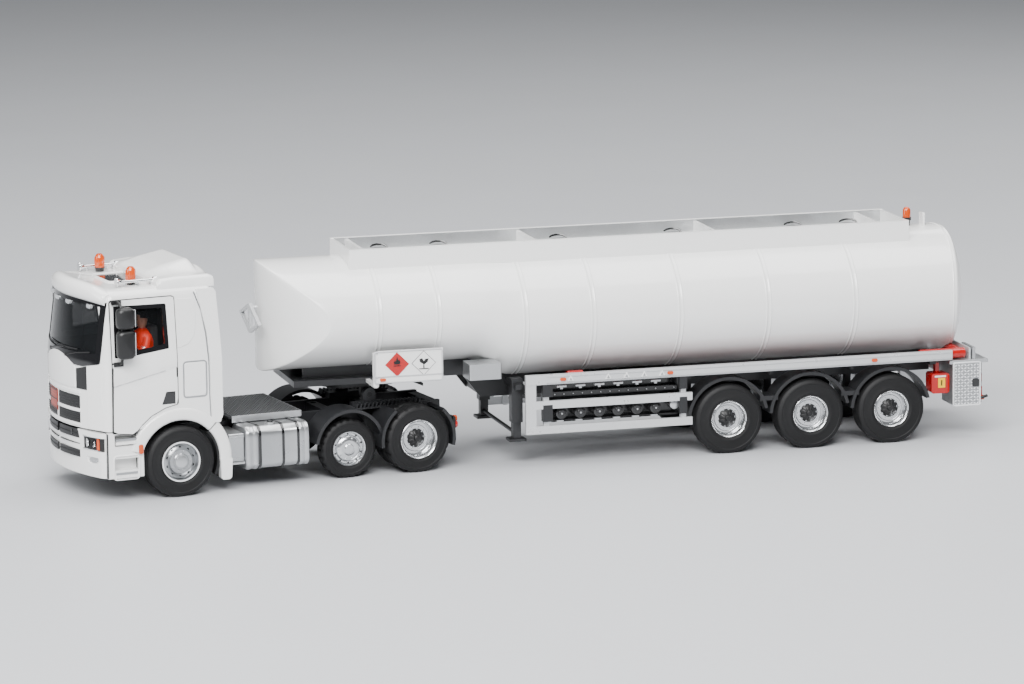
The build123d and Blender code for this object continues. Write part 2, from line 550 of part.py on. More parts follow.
def make_cab_fittings():
    # mirrors: two housings on a bowed arm
    upper = block(-85.6, -82.6, -29.2, -25.6, 52.2, 58.2)
    lower = block(-86.0, -83.0, -29.2, -25.6, 43.4, 51.4)
    upper = fillet(upper.edges(), 0.8)
    lower = fillet(lower.edges(), 0.8)
    spine = block(-84.8, -83.8, -26.6, -25.8, 42.0, 59.0)
    top_arm = block(-84.8, -83.8, -26.6, -22.2, 58.6, 59.4)
    low_arm = block(-84.8, -83.8, -26.6, -23.6, 41.0, 42.2)
    mirror_set = fused([upper, lower, spine, top_arm, low_arm])
    shell = fused([Rot(0, 0, -ARTICULATION) * s for s in parts["cab_shell"]])
    mirror_set = mirror_set - shell
    near = max(mirror_set.solids(), key=lambda s: s.volume)
    keep("mirrors", pair(near), True)

    horns = []
    for y in (-HORN_Y, HORN_Y):
        flare = Pos(-81.3, y, HORN_Z) * Rot(0, -90, 0) * Cone(0.55, 1.5, 2.4)
        tube = rod_x(y, HORN_Z, -80.4, -73.0, 0.55)
        end = rod_x(y, HORN_Z, -73.2, -71.8, 0.9)
        stay = block(-78.2, -77.2, y - 0.4, y + 0.4, CAB_ROOF - 1.2, HORN_Z)
        horn = fused([flare, tube, end, stay]) - shell
        horns.append(max(horn.solids(), key=lambda s: s.volume))
    keep("air_horns", horns, True)

    beacons = []
    for y in (-13.2, 13.2):
        base = rod_z(-76.0, y, CAB_ROOF - 1.0, 64.2, 1.3)
        dome = rod_z(-76.0, y, 64.2, 68.2, 1.55)
        dome = fillet(dome.edges().group_by(Axis.Z)[-1], 0.9)
        beacon = (base + dome) - shell
        beacons.append(max(beacon.solids(), key=lambda s: s.volume))
    keep("roof_beacons", beacons, True)

    # seats, dashboard and bunk on a common floor moulding
    z0 = CAB_BOTTOM + 1.0
    tray = block(-91.0, -55.2, -18.0, 18.0, z0, z0 + 0.8)
    dash = block(-90.6, -87.0, -19.0, 19.0, z0 + 0.8, 39.6)
    pieces = [tray, dash]
    for y in (-11.5, 11.5):
        pieces.append(block(-79.0, -70.0, y - 4.5, y + 4.5, z0 + 0.8, 34.0))
        pieces.append(block(-71.6, -69.2, y - 4.3, y + 4.3, 34.0, 50.0))
    pieces.append(block(-66.0, -55.4, -18.0, 18.0, z0 + 0.8, 33.0))
    keep("cab_interior", fused(pieces), True)

    tilt = Pos(-83.0, -11.5, 40.4) * Rot(0, 32, 0)
    wheel = tilt * Torus(3.6, 0.35)
    spoke = tilt * Box(7.2, 0.8, 0.4)
    column = tilt * Pos(0, 0, -4.2) * Cylinder(0.5, 8.4)
    wheel_set = fused([wheel, spoke, column]) - dash
    wheel_set = max(wheel_set.solids(), key=lambda s: s.volume)
    keep("steering_wheel", wheel_set, True)

    # seated driver
    torso = block(-76.0, -71.8, -14.6, -8.4, 35.4, 47.0)
    torso = fillet(torso.edges().filter_by(Axis.Z), 1.2)
    lap = block(-80.6, -71.8, -14.0, -9.0, 34.1, 36.8)
    neck = rod_z(-74.0, -11.5, 46.8, 48.6, 0.9)
    head = Pos(-74.2, -11.5, 50.4) * Sphere(2.3)
    arms = [block(-82.0, -74.0, y - 0.8, y + 0.8, 41.6, 43.2) for y in (-14.4, -8.6)]
    driver = fused([torso, lap, neck, head] + arms)
    driver = driver - wheel_set
    keep("driver_figure", max(driver.solids(), key=lambda s: s.volume), True)


# ---------------------------------------------------------------- lower front, fixed to the chassis
def make_front_end():
    skin = loft([cab_outline(BUMPER_BOTTOM, 0.7), cab_outline(BUMPER_TOP, 0.4)])
    skin = skin - loft([cab_outline(BUMPER_BOTTOM - 1, 1.9), cab_outline(BUMPER_TOP + 1, 1.6)])
    bumper = skin & block(CAB_FRONT - 3, -88.9, -30, 30, 0, 40)
    bumper = bumper - block(CAB_FRONT - 3, -88.9, -SLOT_OUTER_Y, SLOT_OUTER_Y, BUMPER_MID_TOP, 40)
    for cut in slot_cuts(LOWER_SLOTS, 4):
        bumper = bumper - cut
    lamp_cut = block(CAB_FRONT - 3, -88.9 - GAP, 15.0, 30, 15.3, 19.4)
    fog_cut = block(CAB_FRONT - 3, -89.8, 16.4, 21.4, 11.6, 13.4)
    bumper = bumper - lamp_cut - other_side(lamp_cut) - fog_cut - other_side(fog_cut)
    stay = block(CAB_FRONT + 1.8, FRAME_FRONT - 0.3, 7.9, 9.3, FRAME_BOTTOM, FRAME_BOTTOM + 2.4)
    stay = stay & loft([cab_outline(0, 1.0), cab_outline(30, 1.0)])
    bumper = fused([bumper, stay, other_side(stay)])
    keep("front_bumper", bumper, True)

    shape = loft([cab_outline(BUMPER_BOTTOM, 0.9), cab_outline(BUMPER_TOP, 0.6)])
    shape = shape - loft([cab_outline(BUMPER_BOTTOM - 1, 2.3), cab_outline(BUMPER_TOP + 1, 2.0)])
    lamp = shape & block(CAB_FRONT - 3, -89.2, 15.1, 30, 15.4, 19.3)
    fog = shape & block(CAB_FRONT - 3, -89.9, 16.5, 21.3, 11.7, 13.3)
    keep("headlamps", pair(lamp) + pair(fog), True)

    outline = [(-88.7, 7.4), (-88.7, 21.1), (-80.1, 21.1), (-80.1, 17.0), (-77.6, 17.0),
               (-77.6, 7.4)]
    panel = slab_y(outline, -24.5, -23.3)
    for z0 in (15.8, 8.6):
        panel = panel - block(-86.6, -79.2, -26, -23.0, z0 + 1.1, z0 + 4.6)
    treads = [block(-86.8, -79.0, -24.5, -21.0, z0, z0 + 1.1) for z0 in (15.8, 8.6)]
    back = block(-86.8, -79.0, -21.8, -21.0, 8.6, 20.4)
    stay = block(-84.0, -82.0, -21.8, -FRAME_HALF_W, 16.0, 17.0)
    panel = fused([panel] + treads + [back, stay])
    keep("step_panels", pair(panel), True)

    guard = arch_strip(STEER_X, STEER_R, ARCH_R - 0.9, 1.0, -24.4, -17.2, -24, 43)
    face = arch_strip(STEER_X, STEER_R, ARCH_R - 0.9, 3.4, -24.4, -23.4, 0, 43)
    flap = slab_y([(-54.3, 4.4), (-54.3, 12.0), (-51.2, 12.0), (-51.2, 4.4)], -24.4, -23.4)
    stay = block(-53.8, -52.6, -17.4, -FRAME_HALF_W, 15.0, 16.4)
    guard = fused([guard, face, flap, stay])
    guard = guard & block(-70, -51.2, -30, 0, 0, 30)
    keep("wheel_rear_guards", pair(max(guard.solids(), key=lambda s: s.volume)), True)


# ---------------------------------------------------------------- trailer
def ellipse_section(x, bottom, shrink=0.0):
    """Tank section at station x."""
    half_h = (TANK_TOP - bottom) / 2
    plane = Plane(origin=(x, 0, bottom + half_h), x_dir=(0, 1, 0), z_dir=(1, 0, 0))
    return plane * Ellipse(TANK_HALF_W - shrink, half_h - shrink)


def tank_solid(shrink=0.0):
    """The filled tank: neck, drop, belly, upright round nose and dished tail."""
    nose = TANK_NOSE + shrink
    tail = TANK_TAIL - shrink
    neck = extrude(ellipse_section(nose, NECK_BOTTOM, shrink), amount=NECK_END - nose)
    drop = loft([ellipse_section(NECK_END, NECK_BOTTOM, shrink),
                 ellipse_section(BELLY_START, BELLY_BOTTOM, shrink)])
    belly = extrude(ellipse_section(BELLY_START, BELLY_BOTTOM, shrink), amount=tail - BELLY_START)
    body = neck + drop + belly
    nose_centre = TANK_NOSE + NOSE_R
    nose_zone = rod_z(nose_centre, 0, 10, 80, NOSE_R - shrink)
    nose_zone = nose_zone + block(nose_centre, TANK_TAIL + 5, -40, 40, 10, 80)
    ball = Pos(TANK_TAIL - TAIL_R, 0, 42.0) * Sphere(TAIL_R - shrink)
    tail_zone = ball + block(nose_centre - NOSE_R - 1, TANK_TAIL - 32, -40, 40, 10, 80)
    return body & nose_zone & tail_zone


def make_tank():
    outer = tank_solid()
    keep("tank_shell", outer - tank_solid(TANK_WALL))
    return outer


def make_coaming(tank):
    front, rear, half = COAMING_FRONT, COAMING_REAR, COAMING_HALF_W
    w = COAMING_WALL
    walls = block(front, rear, -half, half, 59.0, COAMING_TOP)
    walls = walls - block(front + w, rear - w, -half + w, half - w, 58.0, COAMING_TOP + 1)
    for x in PARTITION_X:
        walls = walls + block(x - w / 2, x + w / 2, -half + w / 2, half - w / 2, 59.0, COAMING_TOP - 0.4)
    keep("walkway_coaming", walls - tank)
    lids = []
    for x in LID_X:
        lid = rod_z(x, 0, TANK_TOP - 2.5, TANK_TOP + 0.9, LID_R)
        knob = rod_z(x, 0, TANK_TOP + 0.8, TANK_TOP + 1.5, 2.2)
        lever = block(x - 0.6, x + LID_R, -8.6, -7.4, TANK_TOP - 1.5, TANK_TOP + 2.0)
        lever = lever + block(x - 0.6, x + 0.6, -8.6, 0, TANK_TOP + 0.4, TANK_TOP + 2.0)
        lids.append(fused([lid, knob, lever]) - tank)
    lids = [max(lid.solids(), key=lambda s: s.volume) for lid in lids]
    keep("manhole_lids", lids)


def make_nose_bracket(tank):
    """Open diamond frame that carries the line couplings in front of the nose."""
    x0, x1 = TANK_NOSE - 2.4, TANK_NOSE - 1.4
    mid_z = 46.0
    outline = [(x0, -13.5, mid_z), (x0, 0, mid_z + 4.6), (x0, 13.5, mid_z), (x0, 0, mid_z - 4.6)]
    frame = extrude(make_face(Polyline(*outline, close=True)), amount=x1 - x0, dir=(1, 0, 0))
    hole = [(x0 - 1, -10.6, mid_z), (x0 - 1, -1.2, mid_z + 3.1), (x0 - 1, -1.2, mid_z - 3.1)]
    cut = extrude(make_face(Polyline(*hole, close=True)), amount=4, dir=(1, 0, 0))
    frame = frame - cut - other_side(cut)
    pegs = [rod_x(0, z, x0 + 0.2, TANK_NOSE + 2, 0.6) for z in (mid_z - 3.2, mid_z + 3.2)]
    frame = fused([frame] + pegs) - tank
    keep("nose_bracket", max(frame.solids(), key=lambda s: s.volume))


PARTITION_X = (1.0, 55.0, 112.0, 164.5)
LID_X = (9.0, 27.6, 65.4, 102.0, 141.0, 159.0)
LID_R = 4.4
COUPLER_Z = 28.4            # top face of the coupling plate under the neck
RIGGER_END = 22.6           # outriggers that carry the side rails
RIGGER_TOP = RAIL_TOP - RAIL_H
RIGGER_BOTTOM = 23.4


def make_trailer_frame(tank):
    beam = block(38.0, 181.5, BEAM_Y - BEAM_W / 2, BEAM_Y + BEAM_W / 2, BEAM_BOTTOM, 30.0)
    neck_beam = slab_y([(-18.0, COUPLING_Z + GAP), (31.5, COUPLING_Z + GAP), (37.0, BEAM_BOTTOM),
                        (40.0, BEAM_BOTTOM), (40.0, 34.0), (-18.0, 34.0)],
                       BEAM_Y - BEAM_W / 2, BEAM_Y + BEAM_W / 2)
    pieces = [beam, neck_beam, other_side(beam), other_side(neck_beam)]
    plate = block(-22.0, 24.0, -14.0, 14.0, COUPLING_Z + GAP, COUPLER_Z)
    pieces.append(plate)
    for x in (38.2, LEG_X, 74.0, 100.0, 178.0):
        pieces.append(block(x - 1.2, x + 1.2, -BEAM_Y, BEAM_Y, BEAM_BOTTOM + 0.4, 26.0))
    # leg bracket and outriggers that carry the side rails
    for x in (LEG_X, 98.0, 178.0):
        rigger = block(x - 1.0, x + 1.0, BEAM_Y, RIGGER_END, RIGGER_BOTTOM, RIGGER_TOP)
        pieces += [rigger, other_side(rigger)]
    for x in TRAILER_AXLES:
        tube = rod_y(x, TRAILER_R, -SIDE + TRAILER_TYRE_W + 0.6, SIDE - TRAILER_TYRE_W - 0.6, 2.0)
        hanger = block(x - 4.0, x - 2.0, BEAM_Y - BEAM_W / 2, BEAM_Y + BEAM_W / 2, 10.0, 20.0)
        link = block(x - 4.0, x, BEAM_Y - BEAM_W / 2, BEAM_Y + BEAM_W / 2, 9.6, 11.8)
        rigger = block(x - 12.6, x - 11.6, BEAM_Y, RIGGER_END, RIGGER_BOTTOM, RIGGER_TOP)
        pieces += [tube, hanger, other_side(hanger), link, other_side(link), rigger,
                   other_side(rigger)]
    pieces.append(rod_z(74.0, 0, BEAM_BOTTOM - 1.0, 26.0, 2.6))
    frame = fused(pieces) - tank
    for x in TRAILER_AXLES:
        frame = frame - rod_y(x, TRAILER_R, -20, 20, PIN_R + RUNNING)
    frame = frame - rod_z(74.0, 0, BEAM_BOTTOM - 2.0, BEAM_BOTTOM - 1.0 + SCREW_DEPTH, SCREW_R)
    frame = frame - rod_z(0, 0, COUPLING_Z, COUPLER_Z + 3, KINGPIN_R)
    keep("trailer_frame", [max(frame.solids(), key=lambda s: s.volume)])
    pin = rod_z(0, 0, COUPLING_Z - 1.9, COUPLER_Z, KINGPIN_R)
    keep("kingpin", pin)


def make_side_rails(tank):
    y_out = SIDE + 0.4
    rail = block(RAIL_FRONT, RAIL_REAR, -y_out, -y_out + 1.4, RAIL_TOP - RAIL_H, RAIL_TOP)
    shelf = block(RAIL_FRONT, RAIL_REAR, -y_out, -21.0, RAIL_TOP - RAIL_H, RAIL_TOP - RAIL_H + 0.7)
    tray = fused([rail, shelf]) - tank
    tray = tray - block(RAIL_FRONT - 2, GUARD_FRONT - 1.6, -19.0 - 3, -15, 0, 40)
    hose = rod_x(-22.2, 27.1, RAIL_FRONT + 8.0, RAIL_REAR - 0.6, 1.3) - tank
    keep("side_trays", pair(max(tray.solids(), key=lambda s: s.volume)))
    keep("hose_tubes", pair(max(hose.solids(), key=lambda s: s.volume)))


def make_side_guards():
    y0 = -SIDE - 0.2
    y1 = y0 + 1.1
    under = RAIL_TOP - RAIL_H
    pieces = [
        block(GUARD_FRONT - 3.2, GUARD_FRONT, y0, y1, GUARD_LOW - GUARD_H, under),
        block(GUARD_FRONT - 1, GUARD_REAR, y0, y1, GUARD_MID - GUARD_H, GUARD_MID),
        block(GUARD_FRONT - 1, GUARD_REAR, y0, y1, GUARD_LOW - GUARD_H, GUARD_LOW),
    ]
    for x in (GUARD_FRONT + 3.4, GUARD_REAR - 2.6):
        pieces.append(block(x - 0.8, x + 0.8, y1 - 0.3, y1 + 1.2, GUARD_LOW - GUARD_H, under))
    keep("side_guards", pair(fused(pieces)))


def make_boards(tank):
    board = block(1.4, 21.4, -SIDE, -SIDE + 0.9, 28.7, 38.1)
    strut = block(0.0, 1.6, -SIDE + 0.4, -SIDE + 1.6, 27.4, 37.6)
    stay = block(0.2, 1.4, -SIDE + 0.6, -13.0, COUPLER_Z - 1.4, COUPLER_Z - 0.4)
    post = block(0.2, 1.4, -SIDE + 0.6, -SIDE + 1.6, COUPLER_Z - 1.4, 30.0)
    keep("placard_boards", pair(max((fused([board, strut, stay, post])
                                     - block(-22.0, 24.0, -14.0, 14.0, 20, 29)
                                     - tank).solids(), key=lambda s: s.volume)))
    box = block(29.8, 39.8, -24.2, -16.0, 27.4, 32.2)
    box = fillet(box.edges().filter_by(Axis.Z), 0.5)
    bracket = block(33.0, 37.0, -16.0, -BEAM_Y - BEAM_W / 2, 28.0, 29.2)
    keep("tool_box", pair(max((fused([box, bracket]) - tank).solids(), key=lambda s: s.volume)))


COUPLER_X = tuple(58.5 + 5.94 * n for n in range(6))


def make_outlets():
    groups = []
    manifold = rod_x(-18.6, 15.3, 56.0, 96.4, 1.5)
    stays = [block(x - 0.8, x + 0.8, -19.2, -BEAM_Y - BEAM_W / 2, 15.0, 16.6) for x in (60.0, 92.0)]
    posts = [block(x - 0.8, x + 0.8, -BEAM_Y - BEAM_W / 2 - 1.2, -BEAM_Y - BEAM_W / 2, 15.0, 22.0)
             for x in (60.0, 92.0)]
    noses = []
    for x in COUPLER_X:
        noses.append(rod_y(x, 15.3, -23.6, -18.0, 1.2))
        noses.append(rod_y(x, 15.3, -24.0, -22.4, 1.75))
    noses.append(rod_y(94.2, 15.3, -23.4, -18.0, 1.45))
    groups.append(fused([manifold] + stays + posts + noses))
    keep("outlet_couplers", groups + [other_side(item) for item in groups])


def make_trailer_mudguards():
    shells = []
    for x in TRAILER_AXLES:
        arch = arch_strip(x, TRAILER_R, 12.0, 1.0, -SIDE + 1.0, -16.4, 12, 176)
        shells.append(arch)
    joined = []
    for x in TRAILER_AXLES[:-1]:
        joined.append(block(x + 10.2, x + TRAILER_PITCH - 10.2, -SIDE + 1.2, -17.0, 15.6, 17.0))
    stays = [block(x - 12.6, x - 11.6, -18.0, -17.0, 16.2, RIGGER_BOTTOM) for x in TRAILER_AXLES[:1]]
    body = fused(shells + joined + stays)
    keep("trailer_mudguards", pair(max(body.solids(), key=lambda s: s.volume)))


def make_rear_end(tank):
    # corner boxes under a platform
    box = block(184.2, 192.6, -SIDE, -14.0, 10.4, 23.6)
    top = block(182.6, 195.2, -SIDE - 0.2, -12.0, 23.6, 24.6)
    lip = block(190.2, 191.2, -SIDE + 0.4, -15.0, 24.6, 28.4)
    corner = fused([box, top, lip]) - tank
    corner = max(corner.solids(), key=lambda s: s.volume)
    bar = block(186.0, 191.0, -14.0, 14.0, 17.6, 23.6) - tank
    bar = max(bar.solids(), key=lambda s: s.volume)
    keep("rear_boxes", fused([corner, other_side(corner), bar]))
    extinguisher = block(177.6, 183.4, -22.8, -17.4, 14.2, 20.4)
    extinguisher = fillet(extinguisher.edges().filter_by(Axis.Y), 0.8)
    hanger = block(179.6, 180.8, -20.6, -18.4, 20.4, RAIL_TOP - RAIL_H)
    hanger = hanger - block(170, 190, -22.6, -5, RIGGER_BOTTOM, RIGGER_TOP)
    keep("extinguisher_boxes", pair(fused([extinguisher, hanger])))
    lamps = []
    lamp = block(192.6, 193.8, -23.6, -16.0, 17.4, 20.0)
    stalk = rod_y(194.6, 12.6, -SIDE - 0.6, -21.0, 0.6) + block(192.6, 195.0, -22.2, -21.2, 12.0, 13.2)
    plate = block(193.4, 194.0, -24.6, -15.0, 10.8, 16.6) + block(192.6, 193.6, -20, -19, 12, 14)
    lamps += pair(lamp) + pair(stalk) + pair(plate)
    beacon = rod_z(178.4, 0, TANK_TOP - 2, 69.4, 1.6)
    beacon = fillet(beacon.edges().group_by(Axis.Z)[-1], 0.9) - tank
    lamps.append(max(beacon.solids(), key=lambda s: s.volume))
    keep("rear_lamps", lamps)


def make_landing_gear():
    outer = block(LEG_X - 1.7, LEG_X + 1.7, -LEG_Y - 1.7, -LEG_Y + 1.7, 13.0, 26.4)
    bore = block(LEG_X - 1.25 - RUNNING, LEG_X + 1.25 + RUNNING, -LEG_Y - 1.25 - RUNNING,
                 -LEG_Y + 1.25 + RUNNING, 12.0, 24.8)
    outer = outer - bore
    outer = outer - block(LEG_X - 1.0, LEG_X + 1.0, -SIDE, SIDE, RIGGER_BOTTOM, RIGGER_TOP)
    outer = max(outer.solids(), key=lambda s: s.volume)
    keep("landing_leg_tubes", pair(outer))
    inner = block(LEG_X - 1.25, LEG_X + 1.25, -LEG_Y - 1.25, -LEG_Y + 1.25, 8.0, 20.0)
    foot = block(LEG_X - 2.6, LEG_X + 2.6, -LEG_Y - 2.4, -LEG_Y + 2.4, 7.2, 8.0)
    inner = inner + foot
    shaft = rod_y(LEG_X, 9.4, -LEG_Y, LEG_Y, 0.6)
    keep("landing_leg_feet", fused([inner, other_side(inner), shaft]))


# ---------------------------------------------------------------- build and write
def place_and_write():
    solids = [solid for group in parts.values() for solid in group]
    boxes = [solid.bounding_box() for solid in solids]
    low = [min(getattr(b.min, a) for b in boxes) for a in ("X", "Y")]
    high = [max(getattr(b.max, a) for b in boxes) for a in ("X", "Y")]
    shift = Pos(-(low[0] + high[0]) / 2, -(low[1] + high[1]) / 2, 0)
    print("kingpin axis at", [round(v, 4) for v in (shift.position.X, shift.position.Y)])
    for name, group in parts.items():
        placed = [shift * solid for solid in group]
        for number, solid in enumerate(placed):
            solid.label = f"{name}_{number}"
        export_step(Compound(children=placed, label=name), f"parts/{name}.step")


make_wheels()
make_steering()
make_chassis()
make_lift_carrier()
make_tractor_mudguards()
make_tractor_fittings()
make_fifth_wheel()
make_cab()
make_cab_fittings()
make_front_end()
tank_body = make_tank()
make_coaming(tank_body)
make_nose_bracket(tank_body)
make_trailer_frame(tank_body)
make_side_rails(tank_body)
make_side_guards()
make_boards(tank_body)
make_outlets()
make_trailer_mudguards()
make_rear_end(tank_body)
make_landing_gear()
place_and_write()
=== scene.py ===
"""Looks for the road tanker model: detailed bodywork, wheels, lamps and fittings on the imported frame.

Shapes are written in the model maker's own axes: millimetres, nose towards -X, kingpin at X = 0,
Y = 0, ground at Z = 0.  TRAILER and TRACTOR turn those axes into the shared frame in metres.
"""
import json
import math

import bmesh
import bpy
from mathutils import Matrix, Vector


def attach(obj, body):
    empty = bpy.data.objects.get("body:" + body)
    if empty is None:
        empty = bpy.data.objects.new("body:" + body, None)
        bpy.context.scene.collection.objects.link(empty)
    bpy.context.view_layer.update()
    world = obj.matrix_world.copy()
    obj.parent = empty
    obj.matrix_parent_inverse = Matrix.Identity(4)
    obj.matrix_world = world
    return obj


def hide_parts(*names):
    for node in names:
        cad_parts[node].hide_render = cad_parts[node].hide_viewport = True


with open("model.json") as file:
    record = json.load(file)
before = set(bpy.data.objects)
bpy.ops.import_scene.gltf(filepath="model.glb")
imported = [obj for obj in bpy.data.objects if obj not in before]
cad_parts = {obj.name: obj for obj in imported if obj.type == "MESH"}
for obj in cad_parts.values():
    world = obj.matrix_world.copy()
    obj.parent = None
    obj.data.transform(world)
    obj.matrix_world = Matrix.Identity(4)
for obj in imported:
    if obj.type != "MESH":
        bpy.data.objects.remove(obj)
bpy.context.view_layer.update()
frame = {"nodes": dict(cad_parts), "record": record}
NODES = frame["nodes"]
JOINTS = {joint["name"]: joint for joint in frame["record"]["behaviour"]["joints"]}

# ---------------------------------------------------------------- axes and driving dimensions
KINGPIN = Vector(JOINTS["kingpin_yaw"]["pos_m"])
WHEEL_AXIS = Vector(JOINTS["drive_wheels_spin"]["axis"])
ARTICULATION = math.atan2(-WHEEL_AXIS.x, WHEEL_AXIS.y)
MM = 0.001
SHIFT = Matrix.Translation((KINGPIN.x, KINGPIN.y, 0))
TRAILER = SHIFT @ Matrix.Scale(MM, 4)
TRACTOR = SHIFT @ Matrix.Rotation(ARTICULATION, 4, "Z") @ Matrix.Scale(MM, 4)

AXES_OF = {"cab": TRACTOR, "tractor_chassis": TRACTOR, "trailer": TRAILER}

# ---------------------------------------------------------------- mesh helpers


def finish_piece(name, mesh, body, materials, smooth=35.0, bevel=0.0, segments=2, where=None):
    """Turn a millimetre mesh into a shown piece that rides on a body."""
    if where is None:
        where = AXES_OF[body]
    mesh.transform(where)
    if where.determinant() < 0:
        mesh.flip_normals()
    mesh.shade_smooth()
    mesh.set_sharp_from_angle(angle=math.radians(smooth))
    piece = bpy.data.objects.new(name, mesh)
    bpy.context.collection.objects.link(piece)
    for item in materials if isinstance(materials, (list, tuple)) else [materials]:
        mesh.materials.append(item)
    if bevel:
        edge = piece.modifiers.new("edge", "BEVEL")
        edge.width = bevel * MM
        edge.segments = segments
        edge.limit_method = "ANGLE"
        edge.angle_limit = math.radians(smooth)
        edge.harden_normals = True
    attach(piece, body)
    return piece


def raw_mesh(verts, faces):
    mesh = bpy.data.meshes.new("raw")
    mesh.from_pydata([tuple(v) for v in verts], [], faces)
    shape = bmesh.new()
    shape.from_mesh(mesh)
    bmesh.ops.recalc_face_normals(shape, faces=shape.faces)
    shape.to_mesh(mesh)
    shape.free()
    return mesh


def merged(meshes):
    """One mesh out of several."""
    shape = bmesh.new()
    for mesh in meshes:
        shape.from_mesh(mesh)
    joined = bpy.data.meshes.new("joined")
    shape.to_mesh(joined)
    shape.free()
    return joined


def mirrored(mesh):
    """A copy mirrored across the centre plane."""
    copy = mesh.copy()
    copy.transform(Matrix.Scale(-1, 4, (0, 1, 0)))
    copy.flip_normals()
    return copy


def both(mesh):
    return merged([mesh, mirrored(mesh)])


def box(x0, x1, y0, y1, z0, z1):
    verts = [(x, y, z) for x in (x0, x1) for y in (y0, y1) for z in (z0, z1)]
    faces = [(0, 1, 3, 2), (4, 6, 7, 5), (0, 4, 5, 1), (2, 3, 7, 6), (0, 2, 6, 4), (1, 5, 7, 3)]
    return raw_mesh(verts, faces)


def lift(axis, u, v, w):
    """A point from outline coordinates u, v and a depth w along the axis."""
    return {"X": (w, u, v), "Y": (u, w, v), "Z": (u, v, w)}[axis]


def prism(points, axis, start, end):
    """An outline extruded along an axis: points are the other two coordinates in order."""
    count = len(points)
    verts = [lift(axis, u, v, start) for u, v in points] + [lift(axis, u, v, end) for u, v in points]
    faces = [tuple(range(count)), tuple(range(count, 2 * count))]
    faces += [(n, (n + 1) % count, count + (n + 1) % count, count + n) for n in range(count)]
    return raw_mesh(verts, faces)


def loft(rings, closed=True, caps=True, loop=False):
    """Skin over rings that have equal numbers of points; loop joins the last ring to the first."""
    count = len(rings[0])
    verts = [point for ring in rings for point in ring]
    faces = []
    last = count if closed else count - 1
    for row in range(len(rings) if loop else len(rings) - 1):
        after = (row + 1) % len(rings)
        for n in range(last):
            m = (n + 1) % count
            faces.append((row * count + n, row * count + m, after * count + m, after * count + n))
    if caps and closed and not loop:
        faces.append(tuple(range(count)))
        faces.append(tuple(range((len(rings) - 1) * count, len(rings) * count)))
    return raw_mesh(verts, faces)


def lathe(profile, axis, centre, steps=48, caps=True, wave=None, loop=False):
    """A profile of (depth, radius) points turned about an axis; wave(step, point) trims the radius."""
    rings = []
    for number, (depth, radius) in enumerate(profile):
        ring = []
        for step in range(steps):
            turn = 2 * math.pi * step / steps
            reach = radius - (wave(step, number) if wave else 0)
            offset = lift(axis, reach * math.cos(turn), reach * math.sin(turn), depth)
            ring.append([centre[k] + offset[k] for k in range(3)])
        rings.append(ring)
    return loft(rings, caps=caps, loop=loop)


def rod(start, end, radius, sides=16):
    return tube([start, end], radius, sides)


def tube(points, radius, sides=10):
    """A round bar along a list of points."""
    route = [Vector(point) for point in points]
    rings = []
    side = None
    for number, point in enumerate(route):
        ahead = route[min(number + 1, len(route) - 1)] - route[max(number - 1, 0)]
        ahead.normalize()
        helper = side if side else (Vector((0, 0, 1)) if abs(ahead.z) < 0.9 else Vector((1, 0, 0)))
        side = (helper - ahead * helper.dot(ahead)).normalized()
        other = ahead.cross(side)
        ring = []
        for step in range(sides):
            turn = 2 * math.pi * step / sides
            ring.append(point + radius * (math.cos(turn) * side + math.sin(turn) * other))
        rings.append(ring)
    return loft(rings)


def arc(centre, radius, start, end, count):
    """Points of an arc in outline coordinates; angles in degrees."""
    turns = [math.radians(start + (end - start) * n / (count - 1)) for n in range(count)]
    return [(centre[0] + radius * math.cos(t), centre[1] + radius * math.sin(t)) for t in turns]


def rounded(u0, u1, v0, v1, radius, count=5):
    """A rectangle with round corners, as outline points."""
    corners = ((u1 - radius, v1 - radius, 0), (u0 + radius, v1 - radius, 90),
               (u0 + radius, v0 + radius, 180), (u1 - radius, v0 + radius, 270))
    return [p for u, v, a in corners for p in arc((u, v), radius, a, a + 90, count)]


